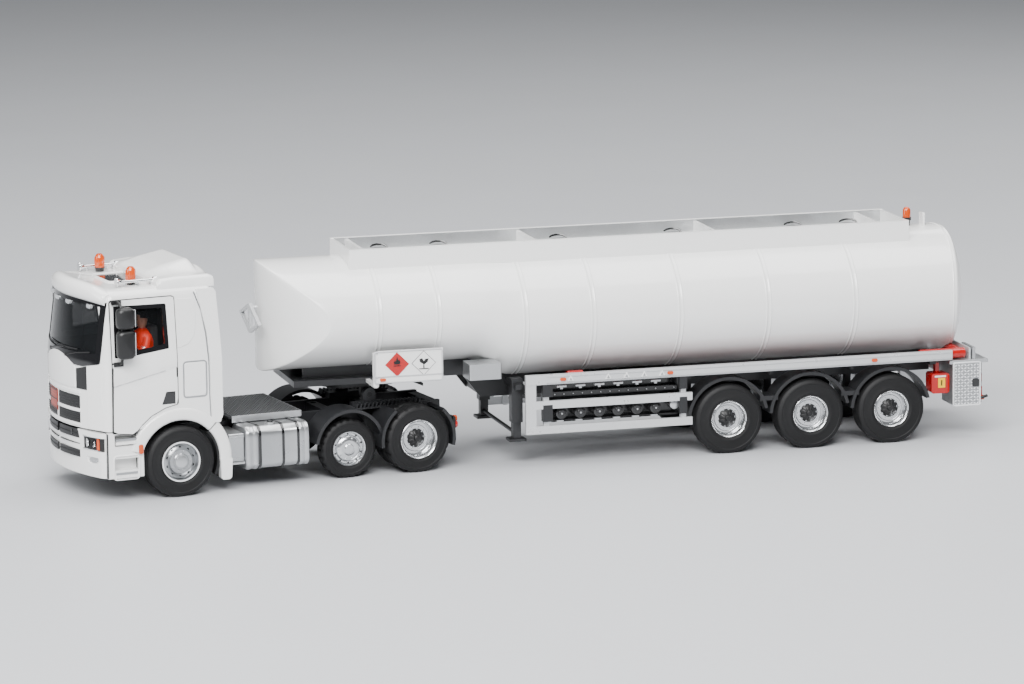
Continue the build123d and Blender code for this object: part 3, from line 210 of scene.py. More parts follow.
# ---------------------------------------------------------------- materials
def material(name, color, rough=0.4, metallic=0.0, grain=900.0, bump=0.02, vary=0.06, coat=0.0,
             specular=0.5, rough_vary=0.08, alpha=1.0, transmission=0.0, emission=0.0):
    """A surface with procedural grain: slight changes of tone and roughness, and a fine bump."""
    made = bpy.data.materials.new(name)
    made.use_nodes = True
    nodes, links = made.node_tree.nodes, made.node_tree.links
    shader = nodes["Principled BSDF"]
    shader.inputs["Metallic"].default_value = metallic
    shader.inputs["Coat Weight"].default_value = coat
    shader.inputs["Coat Roughness"].default_value = 0.05
    shader.inputs["Specular IOR Level"].default_value = specular
    shader.inputs["Alpha"].default_value = alpha
    shader.inputs["Transmission Weight"].default_value = transmission
    if emission:
        shader.inputs["Emission Color"].default_value = (*color, 1)
        shader.inputs["Emission Strength"].default_value = emission
    place = nodes.new("ShaderNodeTexCoord")
    noise = nodes.new("ShaderNodeTexNoise")
    noise.inputs["Scale"].default_value = grain
    noise.inputs["Detail"].default_value = 6
    links.new(place.outputs["Object"], noise.inputs["Vector"])
    tone = nodes.new("ShaderNodeMix")
    tone.data_type = "RGBA"
    tone.inputs["A"].default_value = (*[c * (1 - vary) for c in color], 1)
    tone.inputs["B"].default_value = (*[min(1, c * (1 + vary)) for c in color], 1)
    links.new(noise.outputs["Fac"], tone.inputs["Factor"])
    links.new(tone.outputs["Result"], shader.inputs["Base Color"])
    cloud = nodes.new("ShaderNodeTexNoise")
    cloud.inputs["Scale"].default_value = grain / 12
    cloud.inputs["Detail"].default_value = 3
    links.new(place.outputs["Object"], cloud.inputs["Vector"])
    spread = nodes.new("ShaderNodeMapRange")
    spread.inputs["To Min"].default_value = max(0.02, rough - rough_vary)
    spread.inputs["To Max"].default_value = rough + rough_vary
    links.new(cloud.outputs["Fac"], spread.inputs["Value"])
    links.new(spread.outputs["Result"], shader.inputs["Roughness"])
    relief = nodes.new("ShaderNodeBump")
    relief.inputs["Strength"].default_value = bump
    relief.inputs["Distance"].default_value = 0.0002
    links.new(noise.outputs["Fac"], relief.inputs["Height"])
    links.new(relief.outputs["Normal"], shader.inputs["Normal"])
    return made


WHITE = material("cab_white", (0.83, 0.83, 0.82), rough=0.16, coat=0.4, grain=500, bump=0.015, vary=0.015,
                 rough_vary=0.05)
TANK_WHITE = material("tank_white", (0.86, 0.86, 0.85), rough=0.2, coat=0.5, grain=400, bump=0.02,
                      vary=0.012, rough_vary=0.06)
FRAME_GREY = material("frame_grey", (0.014, 0.0145, 0.016), rough=0.38, grain=1500, bump=0.06, vary=0.12)
BLACK = material("dark_trim", (0.006, 0.006, 0.0065), rough=0.42, grain=2200, bump=0.1, vary=0.2)
GLOSS_BLACK = material("gloss_black", (0.006, 0.006, 0.007), rough=0.1, grain=700, bump=0.01, vary=0.1,
                       coat=0.6, rough_vary=0.04)
GUARD = material("guard_grey", (0.013, 0.0135, 0.015), rough=0.36, grain=1600, bump=0.05, vary=0.14)
SILVER = material("silver", (0.5, 0.51, 0.52), rough=0.3, metallic=0.85, grain=2600, bump=0.05, vary=0.1)
RIM = material("rim_silver", (0.66, 0.67, 0.68), rough=0.22, metallic=0.95, grain=1800, bump=0.04,
               vary=0.08)
TYRE = material("tyre_black", (0.005, 0.005, 0.0055), rough=0.6, grain=1500, bump=0.16, vary=0.3,
                specular=0.35)
LENS = material("lamp_clear", (0.62, 0.64, 0.66), rough=0.08, metallic=0.7, grain=2500, bump=0.08,
                vary=0.12, coat=0.8)
RED_LENS = material("lamp_red", (0.6, 0.004, 0.004), rough=0.12, grain=3000, bump=0.12, vary=0.15, coat=0.8)
AMBER = material("lamp_amber", (0.55, 0.06, 0.0005), rough=0.14, grain=2600, bump=0.1, vary=0.12, coat=0.4)
CHROME = material("chrome_trim", (0.8, 0.81, 0.82), rough=0.07, metallic=1.0, grain=900, bump=0.01,
                  vary=0.03, rough_vary=0.03)
ALLOY = material("alloy", (0.58, 0.59, 0.6), rough=0.32, metallic=0.9, grain=2400, bump=0.07, vary=0.1)
STEEL = material("steel", (0.45, 0.46, 0.47), rough=0.3, metallic=1.0, grain=2000, bump=0.05, vary=0.1)
RAIL = material("guard_white", (0.6, 0.61, 0.62), rough=0.3, metallic=0.35, grain=3000, bump=0.06,
                vary=0.08)
HOSE_RED = material("hose_red", (0.4, 0.001, 0.001), rough=0.2, grain=1200, bump=0.03, vary=0.1, coat=0.4)
BOARD = material("placard", (0.82, 0.82, 0.81), rough=0.25, grain=1500, bump=0.02, vary=0.02, coat=0.2)
COUPLER = material("coupler_black", (0.01, 0.01, 0.011), rough=0.22, grain=2000, bump=0.04, vary=0.2,
                   coat=0.3)
# Lighter copy of the rim and locker metal, for painted highlights on the front rim lips and the locker
# lozenges.
PAINTED_HIGHLIGHT_METAL = material("painted_highlight_metal", (0.85, 0.86, 0.87), rough=0.3, metallic=0.25, grain=2400, bump=0.05,
                  vary=0.06)
SEAT = material("seat_grey", (0.012, 0.012, 0.013), rough=0.7, grain=2600, bump=0.2, vary=0.2)
HI_VIS = material("hi_vis", (0.85, 0.03, 0.002), rough=0.5, grain=2400, bump=0.1, vary=0.15)
# Near-black, near-opaque windscreen glass: painted shade of the cab inside seen through it.
GLAZING = material("glazing", (0.008, 0.009, 0.01), rough=0.03, grain=300, bump=0.0, vary=0.02,
                   rough_vary=0.01, alpha=0.78, specular=0.5)
SIDE_GLAZING = material("side_glazing", (0.02, 0.022, 0.024), rough=0.03, grain=300, bump=0.0, vary=0.02,
                        rough_vary=0.01, alpha=0.1, specular=0.4)
YELLOW = material("label_yellow", (0.85, 0.5, 0.0), rough=0.3, grain=1500, bump=0.02, vary=0.05)
TREAD_DARK = material("tread_dark", (0.03, 0.031, 0.033), rough=0.35, metallic=0.6, grain=2200, bump=0.08,
                      vary=0.15)

ORANGE = material("hazard_orange", (0.32, 0.02, 0.001), rough=0.35, grain=1500, bump=0.03, vary=0.06)
SKIN = material("driver_skin", (0.55, 0.3, 0.2), rough=0.5, grain=1500, bump=0.05, vary=0.06)

SLOT_LOOKS = {
    "cab_white": WHITE, "tank_white": TANK_WHITE, "frame_grey": FRAME_GREY, "dark_trim": BLACK,
    "guard_grey": GUARD, "silver": SILVER, "rim_silver": RIM, "tyre_black": TYRE, "glazing": GLAZING,
    "lamp_clear": LENS, "lamp_red": RED_LENS, "lamp_amber": AMBER, "chrome_trim": CHROME, "alloy": ALLOY,
    "tread_plate": TREAD_DARK, "steel": STEEL, "guard_white": RAIL, "hose_red": HOSE_RED,
    "placard": BOARD, "coupler_black": COUPLER, "box_red": HOSE_RED, "seat_grey": SEAT, "hi_vis": HI_VIS,
}


def dress_frame():
    """Every CAD node takes the look of its material slot."""
    for part in frame["record"]["subparts"]:
        node = NODES[part["node"]]
        node.data.materials.clear()
        node.data.materials.append(SLOT_LOOKS[part["material_slot"]])


# ---------------------------------------------------------------- wheels
SIDE = 25.0
STEER = {"x": -66.0, "r": 10.6, "rim": 6.0, "out": SIDE, "width": 6.8}
LIFT = {"x": -11.4, "r": 8.9, "rim": 5.3, "out": 22.6, "width": 5.0}
DRIVE = {"x": 10.4, "r": 10.2, "rim": 6.0, "out": SIDE, "width": 5.9}
TWIN_PITCH = 6.6
TRAILER_WHEEL = {"r": 10.7, "rim": 5.7, "out": SIDE, "width": 7.4}
TRAILER_AXLES = (111.4, 137.6, 163.8)
WHEEL_STEPS = 96


def tyre(wheel, grooves=4, slit_every=0, inset=0.0):
    """A near-side tyre with rounded shoulders, sidewall ribs and a grooved tread."""
    r, rim, width = wheel["r"], wheel["rim"], wheel["width"]
    side = [(0.55, rim - 0.2), (0.2, rim + 0.1), (0.1, rim + 0.6), (0.0, rim + 0.75), (0.0, rim + 0.95),
            (0.07, rim + 1.1), (0.03, r - 2.4), (0.12, r - 1.5), (0.02, r - 1.35), (0.05, r - 1.15),
            (0.3, r - 0.55), (0.62, r - 0.18), (1.0, r)]
    tread = []
    pitch = (width - 2.0) / (grooves + 1)
    for n in range(grooves):
        middle = 1.0 + pitch * (n + 1)
        tread += [(middle - 0.22, r), (middle - 0.15, r - 0.4), (middle + 0.15, r - 0.4),
                  (middle + 0.22, r)]
    profile = side + tread + [(width - depth, radius) for depth, radius in reversed(side)]
    first, last = len(side) - 2, len(side) + len(tread)

    def knobs(step, point):
        cut = slit_every and first <= point <= last and step % slit_every == 0
        return 0.38 if cut else 0.0

    shifted = [(-wheel["out"] + inset + depth, radius) for depth, radius in profile]
    return lathe(shifted, "Y", (wheel["x"], 0, r), WHEEL_STEPS, caps=False, wave=knobs, loop=True)


def wheel_part(wheel, profile, steps=WHEEL_STEPS, wave=None):
    shifted = [(-wheel["out"] + depth, radius) for depth, radius in profile]
    return lathe(shifted, "Y", (wheel["x"], 0, wheel["r"]), steps, wave=wave)


def wheel_ring(wheel, count, radius, small, depth, height, sides=6, phase=0.0):
    """Nuts or plugs in a circle, from depth outwards by height."""
    ring = []
    for n in range(count):
        turn = 2 * math.pi * (n + phase) / count
        x = wheel["x"] + radius * math.cos(turn)
        z = wheel["r"] + radius * math.sin(turn)
        face = -wheel["out"] + depth
        ring.append(rod((x, face, z), (x, face - height, z), small, sides))
    return merged(ring)


def dished_rim(wheel, dish, width):
    """A deep rim: lip, barrel and a nut ring set back by the dish."""
    lip = wheel["rim"]
    return wheel_part(wheel, [
        (dish + 0.35, 0.05), (dish + 0.35, 2.75), (dish, 2.9), (dish, 3.9), (dish + 0.3, 4.15),
        (dish + 0.3, lip - 1.1), (1.1, lip - 0.85), (0.75, lip - 0.6), (0.4, lip - 0.42),
        (0.2, lip - 0.15), (0.4, lip + 0.06), (0.85, lip + 0.05), (1.05, lip - 0.22),
        (width - 1.0, lip - 0.22), (width - 0.6, lip), (width - 0.4, lip - 0.3),
        (width - 0.6, lip - 0.7), (dish + 1.2, lip - 0.85), (dish + 1.0, 3.4), (dish + 1.0, 0.05)])


def notched_hub(wheel, dish):
    """The dark hub in the middle of a deep rim, with notches for the studs."""
    def notch(step, point):
        return 0.34 if point in (2, 3, 4) and step % 8 < 3 else 0.0

    return wheel_part(wheel, [
        (dish - 0.95, 0.05), (dish - 0.95, 1.05), (dish - 0.15, 2.55), (dish + 0.1, 2.8),
        (dish + 0.5, 2.8), (dish + 0.6, 0.05)], steps=80, wave=notch)


def hub_boss(wheel, dish):
    return wheel_part(wheel, [
        (dish - 1.7, 0.05), (dish - 1.7, 0.75), (dish - 1.5, 0.95), (dish - 0.8, 1.05),
        (dish - 0.8, 0.05)], steps=32)


def axle_set(prefix, wheel, where, body, rims, dark, nodes, knobs=0, inner=None):
    """Show both sides of an axle: tyres, bright rims with nuts, and dark hub parts."""
    tyres = [tyre(wheel, slit_every=knobs)]
    if inner:
        tyres.append(tyre(wheel, slit_every=knobs, inset=inner))
    rubber = finish_piece(prefix + "_tread", both(merged(tyres)), body, TYRE, where=where)
    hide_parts(nodes + "_tyres")
    bright = finish_piece(prefix + "_discs", both(merged(rims)), body, RIM, where=where)
    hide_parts(nodes + "_rims")
    finish_piece(prefix + "_hubs", both(merged(dark)), body, BLACK, where=where)


def steer_meshes(wheel):
    """Convex front disc with its lip, hand holes drawn as black discs of painted shade, a nut ring and a plain
    centre cap.
    """
    lip = wheel["rim"]
    disc = wheel_part(wheel, [
        (0.3, 0.05), (0.3, 2.2), (0.55, 2.45), (0.5, 3.5), (0.9, 3.75), (1.5, 4.5), (1.6, lip - 0.95),
        (1.1, lip - 0.75), (0.75, lip - 0.55), (0.4, lip - 0.4), (0.2, lip - 0.15), (0.4, lip + 0.06),
        (0.85, lip + 0.05), (1.05, lip - 0.22), (5.8, lip - 0.22), (6.2, lip), (6.4, lip - 0.3),
        (6.2, lip - 0.8), (2.6, lip - 1.0), (2.4, 0.05)])
    nuts = wheel_ring(wheel, 10, 3.0, 0.27, 0.6, 0.4)
    cap = wheel_part(wheel, [(0.02, 0.05), (0.02, 1.5), (0.1, 1.75), (0.35, 1.9), (0.4, 0.05)], steps=48)
    # The hand holes are not cut: black discs on the disc stand for the painted shade inside them.
    holes = wheel_ring(wheel, 10, 4.15, 0.42, 1.32, 0.12, sides=12, phase=0.5)
    return merged([disc, nuts]), cap, holes


def make_front_wheels():
    for side in ("left", "right"):
        disc, cap, holes = steer_meshes(STEER)
        rubber = tyre(STEER)
        if side == "right":
            disc, cap, holes, rubber = (mirrored(mesh) for mesh in (disc, cap, holes, rubber))
        body = "front_wheel_" + side
        tread = finish_piece("front_tread_" + side, rubber, body, TYRE, where=TRACTOR)
        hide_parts("front_tyre_" + side)
        # The disc uses darker steel than the lip ring: painted shade on what is one rim metal.
        shown = finish_piece("front_shaded_disc_" + side, disc, body, STEEL, where=TRACTOR)
        # A bright ring laid over the lip is a painted highlight on the rim's edge.
        lip, edge = STEER["rim"], -STEER["out"]
        ring = lathe([(edge + 0.12, lip - 0.4), (edge + 0.12, lip - 0.05), (edge + 0.6, lip + 0.1),
                      (edge + 0.6, lip - 0.45)], "Y", (STEER["x"], 0, STEER["r"]), 72, caps=False, loop=True)
        ring = mirrored(ring) if side == "right" else ring
        finish_piece("front_lip_highlight_" + side, ring, body, PAINTED_HIGHLIGHT_METAL, where=TRACTOR)
        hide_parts("front_rim_" + side)
        finish_piece("front_cap_" + side, cap, body, ALLOY, where=TRACTOR)
        finish_piece("front_hand_hole_shade_" + side, holes, body, BLACK, where=TRACTOR)


def make_lift_wheels():
    """Domed covers over the small wheels of the lifting axle."""
    lip = LIFT["rim"]
    dome = wheel_part(LIFT, [
        (0.1, 0.05), (0.12, 1.3), (0.3, 1.5), (0.32, 1.75), (0.22, 1.95), (0.3, 2.8), (0.6, 3.5),
        (1.0, 3.95), (1.35, 4.1), (1.35, lip - 0.75), (0.7, lip - 0.6), (0.3, lip - 0.35),
        (0.2, lip - 0.1), (0.45, lip + 0.06), (0.9, lip + 0.05), (1.1, lip - 0.22), (4.2, lip - 0.22),
        (4.4, lip - 0.4), (4.2, 0.05)])
    nuts = wheel_ring(LIFT, 10, 3.25, 0.24, 0.5, 0.3)
    # The slots are black discs on the dome: painted shade inside the openings.
    slots = wheel_ring(LIFT, 10, 4.4, 0.26, 1.3, 0.1, sides=10, phase=0.5)
    axle_set("lift", LIFT, TRACTOR, "lift_axle_wheels", [dome, nuts], [slots], "lift_axle", knobs=4)


def make_drive_wheels():
    dish = 2.9
    rims = [dished_rim(DRIVE, dish, 12.2), wheel_ring(DRIVE, 10, 3.35, 0.28, dish, 0.4)]
    dark = [notched_hub(DRIVE, dish), hub_boss(DRIVE, dish)]
    axle_set("drive", DRIVE, TRACTOR, "drive_axle_wheels", rims, dark, "drive_axle", knobs=6,
             inner=TWIN_PITCH)


def make_trailer_wheels():
    dish = 2.5
    for number, x in enumerate(TRAILER_AXLES, 1):
        wheel = dict(TRAILER_WHEEL, x=x)
        rims = [dished_rim(wheel, dish, 7.2), wheel_ring(wheel, 10, 3.35, 0.28, dish, 0.4)]
        dark = [notched_hub(wheel, dish), hub_boss(wheel, dish)]
        axle_set("trailer_%d" % number, wheel, TRAILER, "trailer_axle_%d" % number, rims, dark,
                 "trailer_axle_%d" % number)


# ---------------------------------------------------------------- tank
TANK_NOSE = -30.0
TANK_TAIL = 192.9
TANK_TOP = 63.5
TANK_HALF_W = 24.6
NECK_BOTTOM = 30.2
BELLY_BOTTOM = 24.4
NECK_END = 33.0
BELLY_START = 46.0
NOSE_R = 26.4
TAIL_R = 44.3
BAND_X = (2.4, 20.6, 47.6, 68.8, 96.3, 124.3, 152.3)
RING_STEPS = 128


def tank_bottom(x):
    """Height of the tank's lowest line: neck, a smooth step, then the belly."""
    share = min(1, max(0, (x - NECK_END) / (BELLY_START - NECK_END)))
    share = share * share * (3 - 2 * share)
    return NECK_BOTTOM + (BELLY_BOTTOM - NECK_BOTTOM) * share


def tank_point(x, turn, proud=0.0):
    """Y and Z of the tank skin at a station and angle."""
    low = tank_bottom(x)
    half = (TANK_TOP - low) / 2
    return ((TANK_HALF_W + proud) * math.cos(turn), low + half + (half + proud) * math.sin(turn))


def nose_x(y):
    return TANK_NOSE + NOSE_R - math.sqrt(NOSE_R ** 2 - y ** 2)


def tail_x(y, z):
    middle = (TANK_TOP + BELLY_BOTTOM) / 2
    reach = y ** 2 + (z - middle) ** 2
    return TANK_TAIL - TAIL_R + math.sqrt(TAIL_R ** 2 - reach)


def make_tank():
    turns = [2 * math.pi * n / RING_STEPS for n in range(RING_STEPS)]
    rings = []
    edge = [tank_point(0, t) for t in turns]
    middle = (TANK_TOP + NECK_BOTTOM) / 2
    for share in (0.02, 0.2, 0.4, 0.6, 0.8, 0.93, 0.98):
        rings.append([(nose_x(y * share), y * share, middle + (z - middle) * share) for y, z in edge])
    for back, share in ((0.05, 0.992), (0.25, 0.998), (0.6, 1.0), (2.5, 1.0)):
        rings.append([(nose_x(y) + back, y * share, middle + (z - middle) * share) for y, z in edge])
    stations = [0, 15, NECK_END - 1] + [NECK_END + n for n in range(0, 15)] + [60, 90, 120, 150, 165]
    for x in stations:
        rings.append([(x, *tank_point(x, t)) for t in turns])
    tail = [tank_point(170, t) for t in turns]
    middle = (TANK_TOP + BELLY_BOTTOM) / 2
    for back, share in ((3.0, 1.0), (0.6, 1.0), (0.25, 0.998), (0.05, 0.992)):
        rings.append([(tail_x(y, z) - back, y * share, middle + (z - middle) * share) for y, z in tail])
    for share in (0.98, 0.93, 0.8, 0.6, 0.4, 0.2, 0.02):
        rings.append([(tail_x(y * share, middle + (z - middle) * share), y * share,
                       middle + (z - middle) * share) for y, z in tail])
    shell = finish_piece("tank_skin", loft(rings), "trailer", TANK_WHITE,
                         smooth=60)
    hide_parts("tank_shell")


def tank_ring(x, profile):
    """A hoop round the tank: profile is (offset along X, height above the skin)."""
    rings = []
    for offset, proud in profile:
        turns = [2 * math.pi * n / RING_STEPS for n in range(RING_STEPS)]
        rings.append([(x + offset, *tank_point(x + offset, t, proud)) for t in turns])
    return loft(rings, caps=False, loop=True)


def make_tank_bands():
    double = ((-1.0, -0.1), (-0.85, 0.12), (-0.55, 0.16), (-0.4, 0.02), (0.4, 0.02), (0.55, 0.16),
              (0.85, 0.12), (1.0, -0.1))
    for number, x in enumerate(BAND_X, 1):
        finish_piece("tank_band_%d" % number, tank_ring(x, double), "trailer",
                     TANK_WHITE, smooth=80)


def make_tail_seam():
    """The raised weld where the dished end meets the barrel."""
    rings = []
    for back, proud in ((1.6, -0.1), (1.5, 0.14), (1.1, 0.14), (1.0, -0.1)):
        ring = []
        for n in range(RING_STEPS):
            turn = 2 * math.pi * n / RING_STEPS
            y, z = tank_point(170, turn)
            out_y, out_z = tank_point(170, turn, proud)
            ring.append((tail_x(y, z) - back, out_y, out_z))
        rings.append(ring)
    finish_piece("tail_seam", loft(rings, caps=False, loop=True), "trailer",
                 TANK_WHITE, smooth=80)


# ---------------------------------------------------------------- walkway on the tank
COAMING_FRONT = -4.0
COAMING_REAR = 173.6
COAMING_HALF_W = 12.6
COAMING_TOP = 67.0
LID_X = (9.0, 27.6, 65.4, 102.0, 141.0, 159.0)


def make_walkway():
    """Bright liners and floor inside the coaming, and a white edge along its top."""
    inner = COAMING_HALF_W - 0.95
    liner = box(COAMING_FRONT + 0.95, COAMING_REAR - 0.95, -inner, -inner + 0.12, 62.2, COAMING_TOP - 0.1)
    floor = box(COAMING_FRONT + 1, COAMING_REAR - 1, -6.5, 6.5, 63.3, 63.62)
    finish_piece("walkway_liner", merged([both(liner), floor]), "trailer", ALLOY)
    edge = box(COAMING_FRONT, COAMING_REAR, -COAMING_HALF_W - 0.1, -COAMING_HALF_W + 1.0,
               COAMING_TOP - 0.02, COAMING_TOP + 0.16)
    finish_piece("walkway_edge", both(edge), "trailer", TANK_WHITE, bevel=0.06)


def make_lids():
    lids, levers = [], []
    for x in LID_X:
        lids.append(lathe([(63.3, 3.6), (64.5, 3.6), (64.7, 3.4), (64.7, 2.9), (65.1, 2.7), (65.2, 2.2),
                           (65.25, 0.05)], "Z", (x, 0, 0), 48))
        for turn in range(0, 360, 60):
            cx = x + 3.15 * math.cos(math.radians(turn))
            cy = 3.15 * math.sin(math.radians(turn))
            lids.append(rod((cx, cy, 64.6), (cx, cy, 65.0), 0.28, 6))
        route = [(x + 1.6, -1.2, 65.2), (x + 1.2, -0.8, 66.0), (x + 0.2, 0.0, 66.35), (x - 1.2, 0.8, 66.3),
                 (x - 2.2, 1.8, 65.9), (x - 2.6, 3.0, 65.3)]
        levers.append(tube(route, 0.32))
    shown = finish_piece("dome_lids", merged(lids), "trailer", ALLOY)
    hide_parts("manhole_lids")
    finish_piece("lid_levers", merged(levers), "trailer", GLOSS_BLACK)


# ---------------------------------------------------------------- cab skin
CAB_NOSE = -95.0
CAB_BOW = 0.0112            # how far the front falls back with the square of Y
CAB_HALF_W = 24.5
CAB_REAR = -53.6
CAB_BOTTOM = 21.4
CAB_BELT = 41.0
CAB_SHOULDER = 59.6
CAB_ROOF = 62.6
SCREEN_RAKE = 2.6
SIDE_LEAN = 2.0
DOOR_PROUD = 0.22


def upper_share(z):
    """0 up to the belt line, 1 at the shoulder."""
    return min(1.0, max(0.0, (z - CAB_BELT) / (CAB_SHOULDER - CAB_BELT)))


def side_y(z, proud=0.0):
    """Y of the near cab side at a height."""
    return -(CAB_HALF_W - SIDE_LEAN * upper_share(z) + proud)


def front_x(y, z, proud=0.0):
    """X of the bowed cab front at a height."""
    return CAB_NOSE + SCREEN_RAKE * upper_share(z) + CAB_BOW * y * y - proud


def bend(start, corner, end, count):
    """A quadratic curve from start to end that is pulled towards the corner."""
    points = []
    for n in range(1, count):
        t = n / count
        points.append(tuple((1 - t) ** 2 * a + 2 * t * (1 - t) * b + t * t * c
                            for a, b, c in zip(start, corner, end)))
    return points


def cab_ring(z, inset=0.0, level=None):
    """Plan outline of the cab at a height, shrunk by the inset."""
    half = -side_y(z) - inset
    turn_y = half - 1.8
    xs = [front_x(y, z) + inset for y in (turn_y, half)]
    rear = CAB_REAR - inset
    quarter = [(xs[0], turn_y)] + bend((xs[0], turn_y), (xs[1] - 0.3, half), (xs[0] + 2.2, half), 6)
    quarter += [(xs[0] + 2.2, half), (rear - 1.6, half)]
    quarter += bend((rear - 1.6, half), (rear, half), (rear, half - 1.6), 5) + [(rear, half - 1.6)]
    front = [(front_x(y, z) + inset, y) for y in [turn_y * n / 8 for n in range(-7, 8)]]
    outline = front + quarter + [(x, -y) for x, y in reversed(quarter)]
    return [(x, y, z if level is None else level) for x, y in outline]


def carved(mesh, cutters):
    """The mesh less the cutters, as exact booleans."""
    body = bpy.data.objects.new("body", mesh)
    bpy.context.collection.objects.link(body)
    tools = []
    for cutter in cutters:
        tool = bpy.data.objects.new("tool", cutter)
        bpy.context.collection.objects.link(tool)
        cut = body.modifiers.new("cut", "BOOLEAN")
        cut.operation = "DIFFERENCE"
        cut.solver = "EXACT"
        cut.object = tool
        tools.append(tool)
    bpy.context.view_layer.update()
    graph = bpy.context.evaluated_depsgraph_get()
    result = bpy.data.meshes.new_from_object(body.evaluated_get(graph))
    for item in tools + [body]:
        bpy.data.objects.remove(item)
    result.materials.clear()
    return result


SIDE_WINDOW = [(-85.3, 43.7), (-79.7, 44.1), (-69.5, 45.3), (-69.8, 57.3), (-85.0, 57.6)]
ROOF_STEPS = ((60.7, 0.35), (61.6, 1.0), (62.2, 2.0), (62.5, 3.4), (CAB_ROOF, 5.0))
HATCH = (-80.4, -69.6, -7.2, 7.2)
GRILLE_ROWS = ((26.9, 30.9), (22.7, 26.2))
SLOT_IN, SLOT_OUT = 1.0, 12.8


def make_cab_shell():
    levels = [CAB_BOTTOM, 26, 31, 36, CAB_BELT, 44, 48, 52, 56, CAB_SHOULDER]
    outer = [cab_ring(z) for z in levels] + [cab_ring(z, inset) for z, inset in ROOF_STEPS]
    inner_levels = [CAB_BOTTOM - 2, 30, CAB_BELT, 50, CAB_SHOULDER, 61.3]
    inner = loft([cab_ring(z, 1.1) for z in inner_levels])
    screen = box(-99, -88.6, -20.6, 20.6, 41.2, 58.8)
    window = prism(SIDE_WINDOW, "Y", -30, 30)
    arch = lathe([(-30, 12.6), (30, 12.6)], "Y", (STEER["x"], 0, STEER["r"]), 72)
    slots = [box(-99, -88, a, b, z0, z1) for z0, z1 in GRILLE_ROWS
             for a, b in ((SLOT_IN, SLOT_OUT), (-SLOT_OUT, -SLOT_IN))]
    hatch = box(*HATCH, 58, 66)
    skin = carved(loft(outer), [inner, screen, window, arch, hatch] + slots)
    shell = finish_piece("cab_body", skin, "cab", WHITE, smooth=32, bevel=0.18)
    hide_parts("cab_shell")


def side_sheet(outline, proud, thick=0.5, hole=None, layers=8, fold=None):
    """A plate that lies on the near cab side: outline in X and Z, with an optional window hole."""
    if hole:
        centre = (sum(p[0] for p in hole) / len(hole), sum(p[1] for p in hole) / len(hole))
        inner = resample(hole, centre)
    else:
        centre = (sum(p[0] for p in outline) / len(outline), sum(p[1] for p in outline) / len(outline))
        inner = [centre] * RAYS
    outer = resample(outline, centre)
    rings = []
    for layer in range(layers + 1):
        share = layer / layers if hole else 0.03 + 0.97 * layer / layers
        ring = []
        for near, far in zip(inner, outer):
            x = near[0] + (far[0] - near[0]) * share
            z = near[1] + (far[1] - near[1]) * share
            ring.append((x, side_y(z, proud - (fold(x, z) if fold else 0)), z))
        rings.append(ring)
    back = [[(x, side_y(z, proud - thick), z) for x, _, z in ring] for ring in reversed(rings)]
    return loft(rings + back, caps=not hole, loop=bool(hole))


RAYS = 120


def resample(outline, centre):
    """Where rays from the centre cross a closed outline."""
    points = []
    for n in range(RAYS):
        turn = 2 * math.pi * n / RAYS
        dx, dz = math.cos(turn), math.sin(turn)
        best = None
        for (x0, z0), (x1, z1) in zip(outline, outline[1:] + outline[:1]):
            ex, ez = x1 - x0, z1 - z0
            cross = dx * ez - dz * ex
            if abs(cross) < 1e-9:
                continue
            reach = ((x0 - centre[0]) * ez - (z0 - centre[1]) * ex) / cross
            along = ((x0 - centre[0]) * dz - (z0 - centre[1]) * dx) / cross
            if reach > 0 and -1e-6 <= along <= 1 + 1e-6:
                best = reach if best is None else max(best, reach)
        points.append((centre[0] + best * dx, centre[1] + best * dz))
    return points


def side_line(points, width, proud, thick=0.2):
    """A thin strip along a route on the near cab side."""
    strips = []
    route = [points[0]]
    for (x0, z0), (x1, z1) in zip(points, points[1:]):
        pieces = max(1, math.ceil(math.hypot(x1 - x0, z1 - z0) / 2.0))
        route += [(x0 + (x1 - x0) * n / pieces, z0 + (z1 - z0) * n / pieces) for n in range(1, pieces + 1)]
    for (x0, z0), (x1, z1) in zip(route, route[1:]):
        length = math.hypot(x1 - x0, z1 - z0)
        nx, nz = -(z1 - z0) / length * width / 2, (x1 - x0) / length * width / 2
        corners = [(x0 + nx, z0 + nz), (x1 + nx, z1 + nz), (x1 - nx, z1 - nz), (x0 - nx, z0 - nz)]
        front = [(x, side_y(z, proud), z) for x, z in corners]
        back = [(x, side_y(z, proud - thick), z) for x, z in corners]
        strips.append(loft([front, back]))
    return merged(strips)


DOOR = [(-86.9, 21.0), (-80.2, 20.2), (-78.3, 22.5), (-75.0, 25.2), (-70.6, 27.2), (-66.6, 28.1),
        (-66.6, 59.4), (-67.2, 59.8), (-85.9, 59.8), (-86.5, 59.4)]


